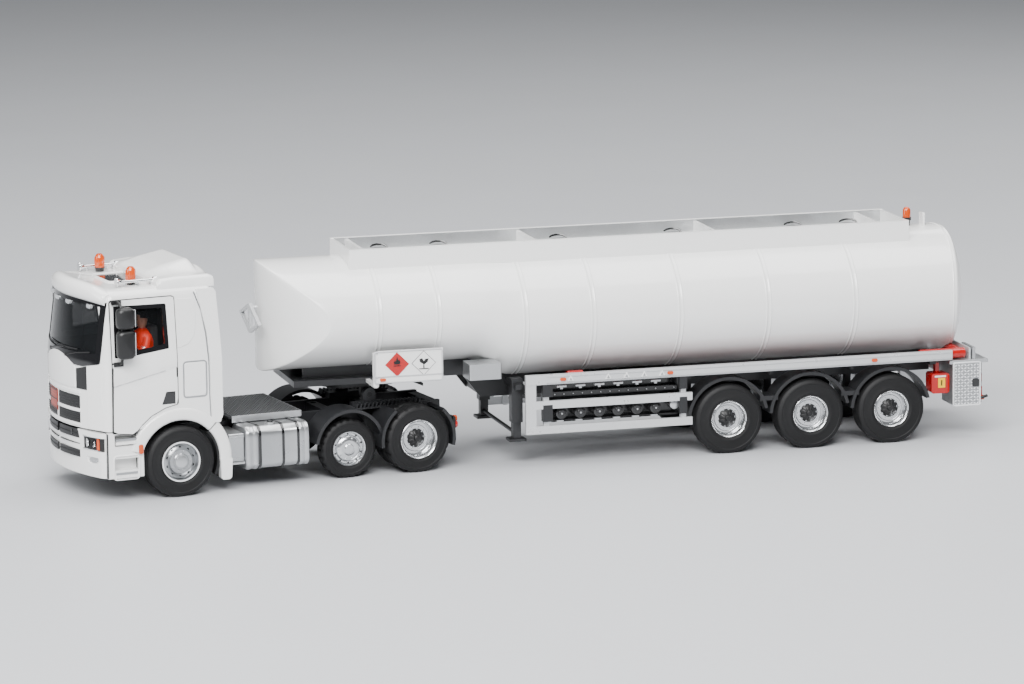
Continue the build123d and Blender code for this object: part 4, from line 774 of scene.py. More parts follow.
def make_doors():
    """Raised door skins with a crease, window frames, seams and recessed handles."""
    def crease(x, z):
        line = 34.6 + (x + 88.3) * (4.0 / 19.4)
        below = line - z
        if 0 < below < 5:
            return 0.3 * (1 - below / 5)
        return 0.0

    hole = [(-85.9, 43.1), (-79.7, 43.4), (-68.9, 44.7), (-69.2, 57.9), (-85.5, 58.2)]
    skin = side_sheet(DOOR, DOOR_PROUD, hole=hole, layers=14, fold=crease)
    finish_piece("door_skins", both(skin), "cab", WHITE, smooth=50)
    frame_ring = side_sheet(hole, DOOR_PROUD + 0.02, thick=1.0, hole=[
        (-84.7, 44.4), (-79.7, 44.8), (-70.1, 46.0), (-70.4, 56.7), (-84.4, 57.0)], layers=3)
    finish_piece("window_frames", both(frame_ring), "cab", GLOSS_BLACK, smooth=50)
    seam = side_line(DOOR + DOOR[:1], 0.5, DOOR_PROUD - 0.12, thick=0.3)
    hinge_gap = side_line([(-87.0, 21.0), (-86.6, 41.8)], 0.45, DOOR_PROUD + 0.02, thick=0.3)
    finish_piece("door_seams", both(merged([seam, hinge_gap])), "cab", BLACK)
    # A thin grey strip along the crease is painted shade under the fold.
    shade = side_line([(-86.5, 34.7), (-70.2, 38.3)], 0.14, DOOR_PROUD + 0.02)
    finish_piece("door_crease_shade", both(shade), "cab", RAIL)
    well = [(-71.6, 28.2), (-67.4, 28.2), (-67.4, 31.9), (-70.2, 31.9)]
    handle = side_sheet(well, DOOR_PROUD + 0.05, thick=0.6, layers=3)
    bar = side_line([(-70.4, 31.3), (-67.6, 31.3)], 0.7, DOOR_PROUD + 0.3)
    finish_piece("door_handles", both(merged([handle, bar])), "cab", GLOSS_BLACK)


def make_cab_sides():
    """Locker hatch, pressed panel and the air fairing behind the door."""
    locker = rounded(-64.6, -57.4, 29.6, 40.2, 0.9)
    groove = side_line(locker + locker[:1], 0.42, 0.05)
    finish_piece("locker_seams", both(groove), "cab", STEEL)
    door = side_sheet(rounded(-64.3, -57.7, 29.9, 39.9, 0.8), 0.14, thick=0.5, layers=4)
    quarter = [(-66.1, 44.4), (-62.6, 45.6), (-60.8, 47.8), (-60.2, 51), (-60.0, 57.8), (-60.6, 58.8),
               (-66.1, 58.9)]
    pressed = side_sheet(quarter, 0.16, thick=0.5, layers=4)
    finish_piece("side_pressings", both(merged([door, pressed])), "cab", WHITE,
                 smooth=50, bevel=0.1)
    sweep = [(-56.0, 21.4), (-56.3, 30), (-56.4, 40), (-56.9, 48), (-58.0, 55), (-60.0, 60.6)]
    fairing = sweep + [(-60.0, 61.3), (-53.5, 61.3), (-52.9, 50), (-52.6, 40), (-52.6, 21.4)]
    panel = side_sheet(fairing, 0.42, thick=1.4, layers=8)
    finish_piece("side_fairings", both(panel), "cab", WHITE, smooth=50, bevel=0.25)
    line = side_line([(x - 0.25, z) for x, z in sweep], 0.36, 0.08)
    finish_piece("fairing_seams", both(line), "cab", STEEL)


def arch_band(start, stop, inner=12.4, outer=16.2, face=25.0, depth=2.2):
    """Part of the raised band round the front wheel, with a rolled outer edge."""
    rings = []
    steps = max(6, int(abs(stop - start) / 4))
    profile = ((inner, face - depth), (inner, face - 0.5), (inner + 0.25, face - 0.12),
               (inner + 0.7, face), (outer - 0.9, face - 0.05), (outer - 0.3, face - 0.3),
               (outer, face - 0.8), (outer, face - depth))
    for n in range(steps + 1):
        turn = math.radians(start + (stop - start) * n / steps)
        rings.append([(STEER["x"] + r * math.cos(turn), -y, STEER["r"] + r * math.sin(turn))
                      for r, y in profile])
    return loft(rings)


def make_arch_bands():
    finish_piece("cab_arch_bands", both(arch_band(45, 163)), "cab", WHITE,
                 smooth=50)
    tail = arch_band(-2, 43)
    post = prism([(-53.6, 10.2), (-49.9, 10.2), (-50.2, 4.6), (-50.9, 4.0), (-52.9, 4.0), (-53.5, 4.6)],
                 "Y", -25.0, -22.8)
    flap = box(-53.2, -52.4, -24.2, -17.4, 4.4, 12)
    finish_piece("rear_arch_bands", both(merged([tail, post])), "tractor_chassis",
                 WHITE, smooth=50)
    guard = arch_strip_mesh(STEER, 11.7, 0.8, -24.0, -17.2, -24, 43)
    shown = finish_piece("wheel_liners", both(merged([guard, flap])), "tractor_chassis",
                         BLACK)
    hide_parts("wheel_rear_guards")


def arch_strip_mesh(wheel, radius, thick, y0, y1, start, stop, bead=0.0):
    """A curved strip of mudguard round a wheel, with an optional bead on its outer edge."""
    rings = []
    steps = max(8, int(abs(stop - start) / 4))
    for n in range(steps + 1):
        turn = math.radians(start + (stop - start) * n / steps)
        out = radius + thick
        profile = [(radius, y0), (radius - bead, y0), (radius - bead, y0 - bead),
                   (out + bead, y0 - bead), (out + bead, y0), (out, y0 + bead), (out, y1),
                   (radius, y1)] if bead else [(radius, y0), (out, y0), (out, y1), (radius, y1)]
        rings.append([(wheel["x"] + r * math.cos(turn), y, wheel["r"] + r * math.sin(turn))
                      for r, y in profile])
    return loft(rings)


# ---------------------------------------------------------------- cab front
def front_sheet(ys, low, high, proud, thick=0.4, rows=4):
    """A plate on the bowed front: ys are stations, low and high give its edges at each."""
    rings = []
    for y in ys:
        z0, z1 = low(y), high(y)
        zs = [z0 + (z1 - z0) * n / rows for n in range(rows + 1)]
        front = [(front_x(y, z, proud), y, z) for z in zs]
        back = [(front_x(y, z, proud - thick), y, z) for z in reversed(zs)]
        rings.append(front + back)
    return loft(rings)


def level_sheet(ys, z0, z1, proud, thick=0.4, rows=4):
    """A plate on the bowed front between two heights."""
    return front_sheet(ys, lambda y: z0, lambda y: z1, proud, thick, rows)


def spread(start, stop, count):
    return [start + (stop - start) * n / (count - 1) for n in range(count)]


def scuttle_edge(y):
    """Lower edge of the black panel under the windscreen: high at the middle, low at the sides."""
    return 39.9 + 3.0 * max(0.0, 1 - (abs(y) / 11) ** 2) + 1.4 * max(0.0, (abs(y) - 15) / 7)


def make_windscreen_trim():
    width = spread(-21.6, 21.6, 41)
    bottom = front_sheet(width, scuttle_edge, lambda y: 43.6 + 0.5 * abs(y) / 21, 0.16)
    # The top strip is the screen's black edge and also painted shade under the visor lip.
    top = level_sheet(spread(-20.4, 20.4, 33), 57.9, 59.3, 0.12)
    post = level_sheet(spread(-21.9, -19.8, 5), 41.5, 59.3, 0.14)
    finish_piece("screen_surround", merged([bottom, top, both(post)]), "cab",
                 GLOSS_BLACK, smooth=50)
    wipers = []
    for y in (-12.0, 1.0):
        pivot = (front_x(y + 6, 42.2, 0.3), y + 6, 42.2)
        elbow = (front_x(y, 43.6, 0.32), y, 43.6)
        tip = (front_x(y - 6, 44.4, 0.32), y - 6, 44.4)
        wipers += [tube([pivot, elbow, tip], 0.22, 8), rod(pivot, (pivot[0] + 1, pivot[1], pivot[2]), 0.5)]
    for y in (-7.0, 5.0):
        wipers.append(tube([(front_x(w, 44.6, 0.3), w, 44.6) for w in spread(y - 5.5, y + 5.5, 8)], 0.2, 6))
    finish_piece("wipers", merged(wipers), "cab", BLACK)
    lamps = [prism(rounded(y - 1.6, y + 1.6, 57.0, 58.2, 0.5), "X", front_x(y, 57.6, 0.5),
                   front_x(y, 57.6, -0.3)) for y in (-15.5, -4.5, 4.5, 15.5)]
    finish_piece("visor_lamps", merged(lamps), "cab", LENS)


def make_front_panels():
    """Name panel without a name, its side vents, and the black grille bars."""
    panel = front_sheet(spread(-11.4, 11.4, 25), lambda y: 33.0 + 0.1 * abs(y) / 11,
                        lambda y: scuttle_edge(y) - 0.25, 0.25)
    cheek = front_sheet(spread(-22.6, -16.9, 9), lambda y: 21.6,
                        lambda y: min(scuttle_edge(y), 40.4 + 1.2 * (abs(y) - 17) / 5) - 0.2, 0.25)
    bars = []
    for y0, y1, z in ((-13.8, 13.8, 31.9), (-13.8, -0.2, 26.55), (8.4, 13.8, 26.55), (-13.8, 13.8, 22.3)):
        bars.append(level_sheet(spread(y0, y1, 25), z - 0.5, z + 0.5, 0.27))
    finish_piece("front_panels", merged([panel, both(cheek)] + bars), "cab", WHITE,
                 smooth=50, bevel=0.12)
    vent = front_sheet(spread(-16.6, -12.0, 7), lambda y: 33.0, lambda y: 38.9 + 0.25 * (abs(y) - 12), 0.15)
    slots = []
    for z0, z1 in GRILLE_ROWS:
        slots.append(level_sheet(spread(-13.4, -0.9, 15), z0 + 0.1, z1 - 0.1, 0.06))
        for level in spread(z0 + 0.8, z1 - 0.8, 4):
            slots.append(level_sheet(spread(-13.0, -1.2, 12), level - 0.14, level + 0.14, 0.2))
    finish_piece("grille_bars", both(merged([vent] + slots)), "cab", BLACK)
    plate = level_sheet(spread(0.0, 8.2, 9), 24.6, 30.8, 0.2)
    finish_piece("hazard_plate", plate, "cab", ORANGE)
    border = [level_sheet(spread(0.3, 7.9, 9), z - 0.16, z + 0.16, 0.27, 0.2)
              for z in (24.9, 27.7, 30.5)]
    border += [level_sheet(spread(y - 0.16, y + 0.16, 2), 24.9, 30.5, 0.27, 0.2)
               for y in (0.3, 7.9)]
    finish_piece("hazard_plate_lines", merged(border), "cab", BLACK)


# ---------------------------------------------------------------- roof
def make_visor():
    """The rolled lip over the windscreen, running back into the roof."""
    rings = []
    for y in spread(-21.4, 21.4, 49):
        drop = 1.3 * (abs(y) / 21.4) ** 3
        x = CAB_NOSE + SCREEN_RAKE + CAB_BOW * y * y
        z = -drop
        taper = 1 - 0.35 * (abs(y) / 21.4) ** 4
        section = [(1.4, 59.0), (-0.1, 59.2), (-0.9, 60.1), (-1.15, 61.4), (-0.9, 62.7), (-0.2, 63.7),
                   (0.9, 64.3), (2.3, 64.2), (4.2, 63.5), (7.5, 62.9), (12.0, 62.55), (12.0, 61.6),
                   (3.0, 61.2)]
        rings.append([(x + a, y, 60.0 + (b - 60.0) * taper + z) for a, b in section])
    finish_piece("visor_lip", loft(rings), "cab", WHITE, smooth=60)


SPOILER_SIDE = 21.2


def spoiler_top(x, y):
    """Height of the air deflector: a sloping deck with a broad hump in the middle."""
    deck = 64.6 + 0.5 * min(1.0, max(0.0, (x + 71.0) / 6.0))
    rise = max(0.0, min(1.0, (x + 72.4) / 14.4))
    fall = max(0.0, min(1.0, (x + 57.2) / 1.6))
    hump = 3.3 * rise ** 0.8 * (1 - 0.6 * fall * fall * (3 - 2 * fall))
    wide = max(0.0, min(1.0, (17.5 - abs(y)) / 8.5))
    wide = wide * wide * (3 - 2 * wide)
    edge = max(0.0, abs(y) - (SPOILER_SIDE - 1.2)) / 1.2
    return deck + hump * wide - 0.9 * edge * edge


def make_spoiler():
    rings = []
    ys = spread(-SPOILER_SIDE, SPOILER_SIDE, 57)
    for x in spread(-71.0, -53.3, 36):
        trim = 0.7 * max(0.0, (x + 54.5) / 1.2)
        start = max(0.0, 1 - (x + 71.0) / 1.2)
        top = [(x, y, spoiler_top(x, y) - trim - 0.9 * start) for y in ys]
        base = [(x, y, 61.6) for y in (SPOILER_SIDE, -SPOILER_SIDE)]
        rings.append(top + base)
    shown = finish_piece("roof_deflector", loft(rings), "cab", WHITE, smooth=50)
    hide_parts("roof_spoiler")


def make_roof_fittings():
    x0, x1, y0, y1 = HATCH
    glass = box(x0 - 0.1, x1 + 0.1, y0 - 0.1, y1 + 0.1, 62.3, 62.72)
    finish_piece("roof_hatch_glass", glass, "cab", GLOSS_BLACK, bevel=0.1)
    rim_route = [(x, y, 62.75) for x, y in rounded(x0 - 0.3, x1 + 0.3, y0 - 0.3, y1 + 0.3, 1.0)]
    finish_piece("roof_hatch_rim", tube(rim_route + rim_route[:1], 0.28, 8), "cab",
                 WHITE, smooth=60)
    horns, lamps, caps, stems = [], [], [], []
    for y in (-16.0, 16.0):
        z = 64.0
        horns.append(lathe([(-81.9, 0.05), (-81.9, 1.35), (-81.6, 1.4), (-81.2, 0.9), (-80.2, 0.55),
                            (-78.6, 0.42), (-72.0, 0.4), (-70.6, 0.5), (-70.3, 0.95), (-69.3, 1.0),
                            (-69.0, 0.8), (-69.0, 0.05)], "X", (0, y, z), 32))
        for x in (-79.3, -75.2, -71.0):
            horns.append(rod((x, y, 62.2), (x, y, z), 0.4, 10))
        horns.append(rod((-75.2, y, 62.4), (-75.2, y, 63.0), 1.0, 16))
    for y in (-13.2, 13.2):
        centre = (-76.2, y, 0)
        lamps.append(lathe([(63.9, 0.05), (63.9, 1.45), (64.3, 1.55), (66.4, 1.5), (67.3, 1.25),
                            (67.9, 0.8), (68.05, 0.05)], "Z", centre, 32))
        for turn in range(0, 360, 60):
            px = -76.2 + 1.5 * math.cos(math.radians(turn))
            py = y + 1.5 * math.sin(math.radians(turn))
            lamps.append(rod((px, py, 64.2), (px, py, 66.9), 0.14, 6))
        caps.append(rod((-76.2, y, 64.0), (-76.2, y, 66.6), 0.7, 12))
        stems.append(lathe([(62.3, 0.05), (62.3, 1.2), (63.1, 1.3), (63.9, 1.55), (63.95, 0.05)], "Z",
                           centre, 24))
    shown = finish_piece("chrome_horns", merged(horns), "cab", CHROME)
    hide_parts("air_horns")
    domes = finish_piece("beacon_domes", merged(lamps), "cab", AMBER)
    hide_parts("roof_beacons")
    finish_piece("beacon_bases", merged(stems + caps), "cab", BLACK)


def make_mirrors():
    """Two rounded housings on a bowed arm, with glass on their rear faces."""
    shells, panes = [], []
    for z0, z1, out in ((52.0, 58.3, 29.0), (43.2, 51.6, 28.8)):
        outline = rounded(-86.0, -80.7, z0, z1, 1.4)
        rings = []
        for y, inset in ((-25.4, 0.7), (-25.7, 0.2), (-26.3, 0.0), (-out + 0.9, 0.0), (-out + 0.3, 0.3),
                         (-out, 0.9)):
            middle = (-83.35, (z0 + z1) / 2)
            scale_x = 1 - inset / 2.65
            scale_z = 1 - inset / ((z1 - z0) / 2)
            rings.append([(middle[0] + (x - middle[0]) * scale_x, y, middle[1] + (z - middle[1]) * scale_z)
                          for x, z in outline])
        shells.append(loft(rings))
        panes.append(box(-80.75, -80.55, -out + 0.6, -26.0, z0 + 0.7, z1 - 0.7))
    arm = tube([(-84.6, -22.6, 59.5), (-84.6, -25.2, 59.6), (-84.4, -26.6, 58.6), (-84.2, -27.0, 52.0),
                (-84.2, -26.8, 44.0), (-84.4, -26.4, 42.0), (-84.8, -24.4, 41.3)], 0.42, 10)
    feet = [box(-86.2, -83.2, -23.6, -22.4, 58.8, 60.1), box(-86.4, -83.4, -25.2, -24.3, 40.7, 42.0)]
    shown = finish_piece("mirror_housings", both(merged(shells + [arm] + feet)), "cab",
                         BLACK, smooth=50, bevel=0.08)
    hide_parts("mirrors")
    finish_piece("mirror_glass", both(merged(panes)), "cab", CHROME)


def make_cab_inside():
    """Dark lining, and a seated driver in an orange jacket with silver stripes."""
    lining = [box(-86.6, -54.8, -21.2, 21.2, 60.6, 61.2), box(-55.6, -54.9, -22.2, 22.2, 23.0, 61.0)]
    rear_side = box(-68.4, -55.0, -21.9, -21.3, 42.5, 60.4)
    low_side = box(-88.0, -55.0, -23.2, -22.6, 23.0, 42.0)
    dash = prism([(-89.6, 23), (-87.0, 23), (-85.2, 38.5), (-86.2, 40.6), (-89.4, 41.0)], "Y", -18, 18)
    finish_piece("cab_lining", merged(lining + [both(rear_side), both(low_side), dash]), "cab",
                 SEAT, bevel=0.2)
    x, y = -72.6, -12.4
    rings = []
    for z, half_x, half_y in ((36.0, 2.9, 3.4), (38.5, 3.3, 3.8), (42.0, 3.3, 4.1), (45.8, 3.1, 4.5),
                              (47.8, 2.5, 4.1), (48.9, 1.5, 2.2), (49.3, 1.0, 1.1)):
        rings.append([(x + half_x * math.cos(t) + (47 - z) * 0.02, y + half_y * math.sin(t), z)
                      for t in [2 * math.pi * n / 28 for n in range(28)]])
    torso = loft(rings)
    arms = []
    for side in (-1, 1):
        arms.append(tube([(x, y + side * 4.0, 46.8), (x - 0.8, y + side * 5.0, 44.6),
                          (x - 3.0, y + side * 5.0, 42.4), (x - 6.0, y + side * 4.1, 42.0),
                          (x - 9.4, y + side * 3.2, 42.6)], 1.3, 14))
    legs = [tube([(x, y + s * 1.8, 36.4), (x - 5.5, y + s * 2.0, 36.2)], 1.5, 12) for s in (-1, 1)]
    jacket = finish_piece("driver_jacket", merged([torso] + arms + legs), "cab", HI_VIS,
                          smooth=60)
    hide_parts("driver_figure")
    bands = []
    for z, half_x, half_y in ((40.2, 3.42, 4.05), (43.4, 3.34, 4.35)):
        bands.append(loft([[(x + half_x * math.cos(t), y + half_y * math.sin(t), level)
                            for t in [2 * math.pi * n / 28 for n in range(28)]]
                           for level in (z - 0.35, z + 0.35)]))
    for side in (-1, 1):
        bands.append(rod((x - 1.2, y + side * 5.02, 44.0), (x - 1.7, y + side * 5.02, 43.5), 1.4, 14))
    finish_piece("driver_stripes", merged(bands), "cab", ALLOY)
    head_z = 51.6
    head = lathe([(head_z - 2.4, 0.05), (head_z - 2.3, 0.9), (head_z - 1.6, 1.35), (head_z - 0.4, 1.65),
                  (head_z + 0.8, 1.7), (head_z + 1.7, 1.35), (head_z + 2.2, 0.6), (head_z + 2.3, 0.05)],
                 "Z", (x - 0.2, y, 0), 28)
    nose = prism([(x - 1.7, head_z + 0.2), (x - 2.2, head_z - 0.5), (x - 1.7, head_z - 0.6)], "Y",
                 y - 0.22, y + 0.22)
    hands = [lathe([(-0.9, 0.05), (-0.6, 0.6), (0.2, 0.7), (0.8, 0.05)], "X",
                   (x - 9.9, y + s * 3.1, 42.7), 12) for s in (-1, 1)]
    neck = rod((x, y, 48.4), (x, y, 49.6), 0.85, 16)
    finish_piece("driver_head", merged([head, nose, neck] + hands), "cab", SKIN,
                 smooth=60)
    hair = lathe([(head_z + 0.6, 1.5), (head_z + 0.9, 1.82), (head_z + 1.8, 1.5), (head_z + 2.4, 0.6),
                  (head_z + 2.45, 0.05)], "Z", (x + 0.05, y, 0), 28)
    eyes = [rod((x - 1.78, y + s * 0.6, head_z + 0.35), (x - 1.9, y + s * 0.6, head_z + 0.35), 0.16, 8)
            for s in (-1, 1)]
    mouth = box(x - 1.66, x - 1.56, y - 0.4, y + 0.4, head_z - 1.22, head_z - 1.1)
    finish_piece("driver_hair", merged([hair, mouth] + eyes), "cab", SEAT, smooth=60)


# ---------------------------------------------------------------- glass
def make_glass():
    """Windscreen that follows the bowed front, near-black and near-opaque as painted shade of the cab inside,
    and clearer side panes.
    """
    screen = level_sheet(spread(-20.4, 20.4, 33), 41.4, 58.6, -0.25, thick=0.3, rows=8)
    shown = finish_piece("windscreen", screen, "cab", GLAZING, smooth=60)
    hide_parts("cab_glazing")
    pane = side_sheet(SIDE_WINDOW, -0.45, thick=0.3, layers=3)
    finish_piece("side_windows", both(pane), "cab", SIDE_GLAZING, smooth=60)


# ---------------------------------------------------------------- lower front
LOWER_SLOT_ROWS = ((18.2, 20.8), (12.5, 14.7))


def make_lower_front():
    """Black slots with fine bars, lamp units behind clear lenses, fog lamps and a split line."""
    dark = []
    for z0, z1 in LOWER_SLOT_ROWS:
        dark.append(level_sheet(spread(-12.8, -0.9, 15), z0, z1, 0.06))
        dark.append(level_sheet(spread(-12.4, -1.2, 12), z0 + 1.0, z0 + 1.3, 0.24))
    dark.append(level_sheet(spread(-22.6, -14.6, 13), 15.2, 19.5, 0.1))
    dark.append(level_sheet(spread(-13.0, -1.0, 12), 16.4, 16.65, 0.02))
    finish_piece("lower_grille", both(merged(dark)), "tractor_chassis", BLACK)
    lens = level_sheet(spread(-20.3, -15.0, 9), 15.6, 19.1, 0.3)
    shown = finish_piece("headlamp_lenses", both(lens), "tractor_chassis",
                         SIDE_GLAZING, smooth=50, bevel=0.15)
    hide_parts("headlamps")
    bowls = []
    for y in (-16.3, -18.9):
        for depth, radius in ((0.24, 1.25), (0.28, 0.8)):
            bowls.append(lathe([(front_x(y, 17.4, depth), radius), (front_x(y, 17.4, 0.1), radius)], "X",
                               (0, y, 17.4), 24))
    trim = []
    for z in (15.5, 19.3):
        trim.append(tube([(front_x(y, z, 0.3), y, z) for y in spread(-20.9, -14.8, 9)], 0.18, 6))
    finish_piece("headlamp_trims", both(merged(bowls + trim)), "tractor_chassis",
                 CHROME, smooth=50)
    blinker = level_sheet(spread(-21.2, -20.4, 4), 15.6, 19.1, 0.32)
    marker = prism(rounded(-79.3, -77.9, 14.2, 17.0, 0.5), "Y", -25.2, -24.3)
    finish_piece("front_markers", both(merged([blinker, marker])), "tractor_chassis",
                 AMBER, smooth=50)
    fog = front_sheet(spread(-20.6, -17.2, 9), lambda y: 12.5 - 0.85 * (1 - ((y + 18.9) / 1.8) ** 2) ** 0.5,
                      lambda y: 12.5 + 0.85 * (1 - ((y + 18.9) / 1.8) ** 2) ** 0.5, 0.15)
    finish_piece("fog_lamps", both(fog), "tractor_chassis", SILVER)
    fog_bed = level_sheet(spread(-21.35, -16.4, 9), 11.55, 13.45, -0.05)
    finish_piece("fog_beds", both(fog_bed), "tractor_chassis", WHITE)


def make_steps():
    """Ribbed treads and pressed recesses on the step panels."""
    treads, dark = [], []
    for z in (17.4, 7.4):
        treads.append(box(-86.3, -79.6, -24.95, -23.9, z, z + 0.75))
        for n in range(16):
            x = -86.0 + n * 0.41
            treads.append(box(x, x + 0.2, -25.0, -24.0, z + 0.7, z + 1.0))
        dark.append(box(-86.3, -79.6, -24.62, -24.0, z + 1.0, z + 1.7))
    outline = rounded(-86.9, -79.0, 7.0, 14.0, 1.0)
    route = [(x, -24.5, z) for x, z in outline]
    treads.append(tube(route + route[:1], 0.28, 8))
    finish_piece("step_treads", both(merged(treads)), "tractor_chassis", WHITE,
                 bevel=0.05)
    finish_piece("step_shadows", both(merged(dark)), "tractor_chassis", STEEL)
    seam = box(-88.85, -88.6, -24.65, -23.6, 7.6, 20.8)
    finish_piece("step_seams", both(seam), "tractor_chassis", GUARD)


# ---------------------------------------------------------------- tractor chassis
FUEL_TANK = (-45.0, -24.8)
TANK_OUTLINE = ((-12.0, 6.2), (-12.0, 18.4), (-22.0, 18.8), (-23.9, 16.9), (-24.1, 7.2), (-22.4, 5.5))


def make_fuel_tank():
    """Cast tank with stepped end caps, three black straps and a filler neck."""
    def section(grow, count=5):
        ring = []
        middle = (-18.0, 12.2)
        for number, (y, z) in enumerate(TANK_OUTLINE):
            before = TANK_OUTLINE[number - 1]
            after = TANK_OUTLINE[(number + 1) % len(TANK_OUTLINE)]
            start = (y + (before[0] - y) * 0.22, z + (before[1] - z) * 0.22)
            end = (y + (after[0] - y) * 0.22, z + (after[1] - z) * 0.22)
            ring += [start] + bend(start, (y, z), end, count) + [end]
        return [(middle[0] + (y - middle[0]) * grow, middle[1] + (z - middle[1]) * grow) for y, z in ring]

    profile = [(0.0, 0.93), (0.25, 0.97), (0.9, 1.0), (1.5, 1.0), (1.7, 0.975), (2.5, 0.975), (2.7, 1.0),
               (3.5, 1.0), (3.7, 0.975), (16.9, 0.975), (17.2, 1.0), (18.1, 1.0), (18.4, 0.975),
               (18.8, 0.975), (19.0, 1.0), (19.9, 0.995), (20.2, 0.94)]
    rings = [[(FUEL_TANK[0] + along, y, z) for y, z in section(grow)] for along, grow in profile]
    neck = lathe([(18.3, 1.5), (19.0, 1.5), (19.1, 1.3)], "Z", (-36.2, -20.6, 0), 24)
    shown = finish_piece("fuel_tank_body", merged([loft(rings), neck]), "tractor_chassis",
                         SILVER, smooth=40)
    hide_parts("fuel_tank")
    straps = []
    for x in (-40.6, -33.2, -28.4):
        straps.append(loft([[(x + a, y, z) for y, z in section(grow)]
                            for a, grow in ((-0.4, 0.97), (-0.35, 1.02), (0.35, 1.02), (0.4, 0.97))]))
    cap = lathe([(19.0, 0.9), (19.5, 0.95), (19.6, 0.7), (19.6, 0.05)], "Z", (-36.2, -20.6, 0), 16)
    shown = finish_piece("tank_straps", merged(straps + [cap]), "tractor_chassis",
                         GLOSS_BLACK, smooth=40)
    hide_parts("fuel_tank_straps")
    lip = [box(-49.6, -45.2, -23.0, -20.8, 7.7, 8.3), box(-49.9, -45.2, -22.7, -22.3, 9.2, 9.5),
           box(-49.9, -45.2, -22.7, -22.3, 15.8, 16.1)]
    finish_piece("battery_step", merged(lip), "tractor_chassis", ALLOY, bevel=0.08)


def make_catwalk():
    """Bright edges and raised lozenges on the catwalk, and the ribbed ramps by the coupling."""
    x0, x1 = -46.0, -23.9
    edges = [box(x0, x1, -15.05, -14.7, 18.7, 20.65), box(x1 - 0.1, x1 + 0.25, -15, 15, 18.9, 20.6),
             box(x0, x1, 14.7, 15.05, 18.7, 20.65)]
    finish_piece("catwalk_edges", merged(edges), "tractor_chassis", ALLOY, bevel=0.06)
    studs = []
    for row in range(20):
        for column in range(24):
            x, y = x0 + 0.7 + column * 0.93, -14.1 + row * 1.48
            lean = 0.42 if (row + column) % 2 else -0.42
            studs.append(prism([(x - 0.3, y - lean), (x - 0.1, y - lean), (x + 0.3, y + lean),
                                (x + 0.1, y + lean)], "Z", 20.45, 20.66))
    finish_piece("catwalk_studs", merged(studs), "tractor_chassis", ALLOY)
    ribs = []
    for n in range(17):
        x = -6.0 + n * 1.28
        ribs.append(prism([(x, 19.3), (x + 0.5, 19.3), (x + 1.0, 20.7), (x + 0.5, 20.7)], "Y", -15.0, -11.6))
    ribs.append(box(-6.2, 16.0, -15.1, -11.4, 18.9, 19.5))
    finish_piece("ramp_ribs", both(merged(ribs)), "tractor_chassis", GUARD, bevel=0.05)


def make_tail_lamps():
    """Round stop lamps with an amber quarter above, on a black plate."""
    red = lathe([(23.3, 1.15), (24.15, 1.15), (24.4, 0.9), (24.5, 0.05)], "X", (0, -21.2, 13.1), 24)
    strip = box(23.5, 24.3, -20.2, -16.4, 12.4, 13.9)
    shown = finish_piece("stop_lamps", both(merged([red, strip])), "tractor_chassis", RED_LENS,
                         smooth=50)
    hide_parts("tail_lamps")
    amber = lathe([(23.3, 0.9), (24.2, 0.9), (24.35, 0.05)], "X", (0, -21.2, 14.9), 20)
    finish_piece("turn_lamps", both(amber), "tractor_chassis", AMBER, smooth=50)
    plate = box(22.6, 23.4, -22.6, -9.4, 12.0, 15.6)
    finish_piece("lamp_plates", both(plate), "tractor_chassis", BLACK)


# ---------------------------------------------------------------- trailer sides
COUPLER_X = (58.5, 64.4, 70.4, 76.3, 82.3, 88.2)
RAIL_MARKERS = (58.6, 92.4, 158.0)


def disc(x, z, y, radius, thick):
    """A flat round boss facing the near side."""
    return lathe([(y, radius * 0.82), (y + 0.18, radius), (y + thick, radius)], "Y", (x, 0, z), 28)


def make_couplers():
    """Six black couplings with bright levers and handles, and a bright cap at the end of the row."""
    black = [box(56.0, 96.0, -21.6, -19.6, 20.4, 21.8), box(56.0, 96.0, -21.6, -19.4, 12.6, 13.2)]
    bright = []
    for x in COUPLER_X:
        black += [disc(x, 15.6, -24.0, 1.75, 3.0), disc(x, 15.6, -24.35, 1.15, 0.6),
                  rod((x, -21.6, 15.6), (x, -9.6, 19.0), 1.3, 16)]
        bright.append(box(x - 1.5, x + 0.6, -23.9, -22.9, 13.1, 13.5))
        bright.append(box(x - 1.5, x + 1.5, -24.2, -23.0, 23.7, 24.2))
        bright.append(box(x - 0.4, x + 0.4, -24.0, -23.2, 23.1, 23.8))
        bright.append(disc(x, 15.6, -24.42, 0.3, 0.2))
    for n in range(14):
        bright.append(disc(57.0 + n * 2.9, 21.1, -21.8, 0.18, 0.3))
    bright.append(disc(94.2, 16.3, -24.2, 1.45, 1.4))
    black.append(box(53.6, 97.0, -18.9, -18.5, 12.6, 25.2))
    shown = finish_piece("coupling_heads", both(merged(black)), "trailer", COUPLER,
                         smooth=40)
    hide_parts("outlet_couplers")
    finish_piece("coupling_levers", both(merged(bright)), "trailer", ALLOY, smooth=40)


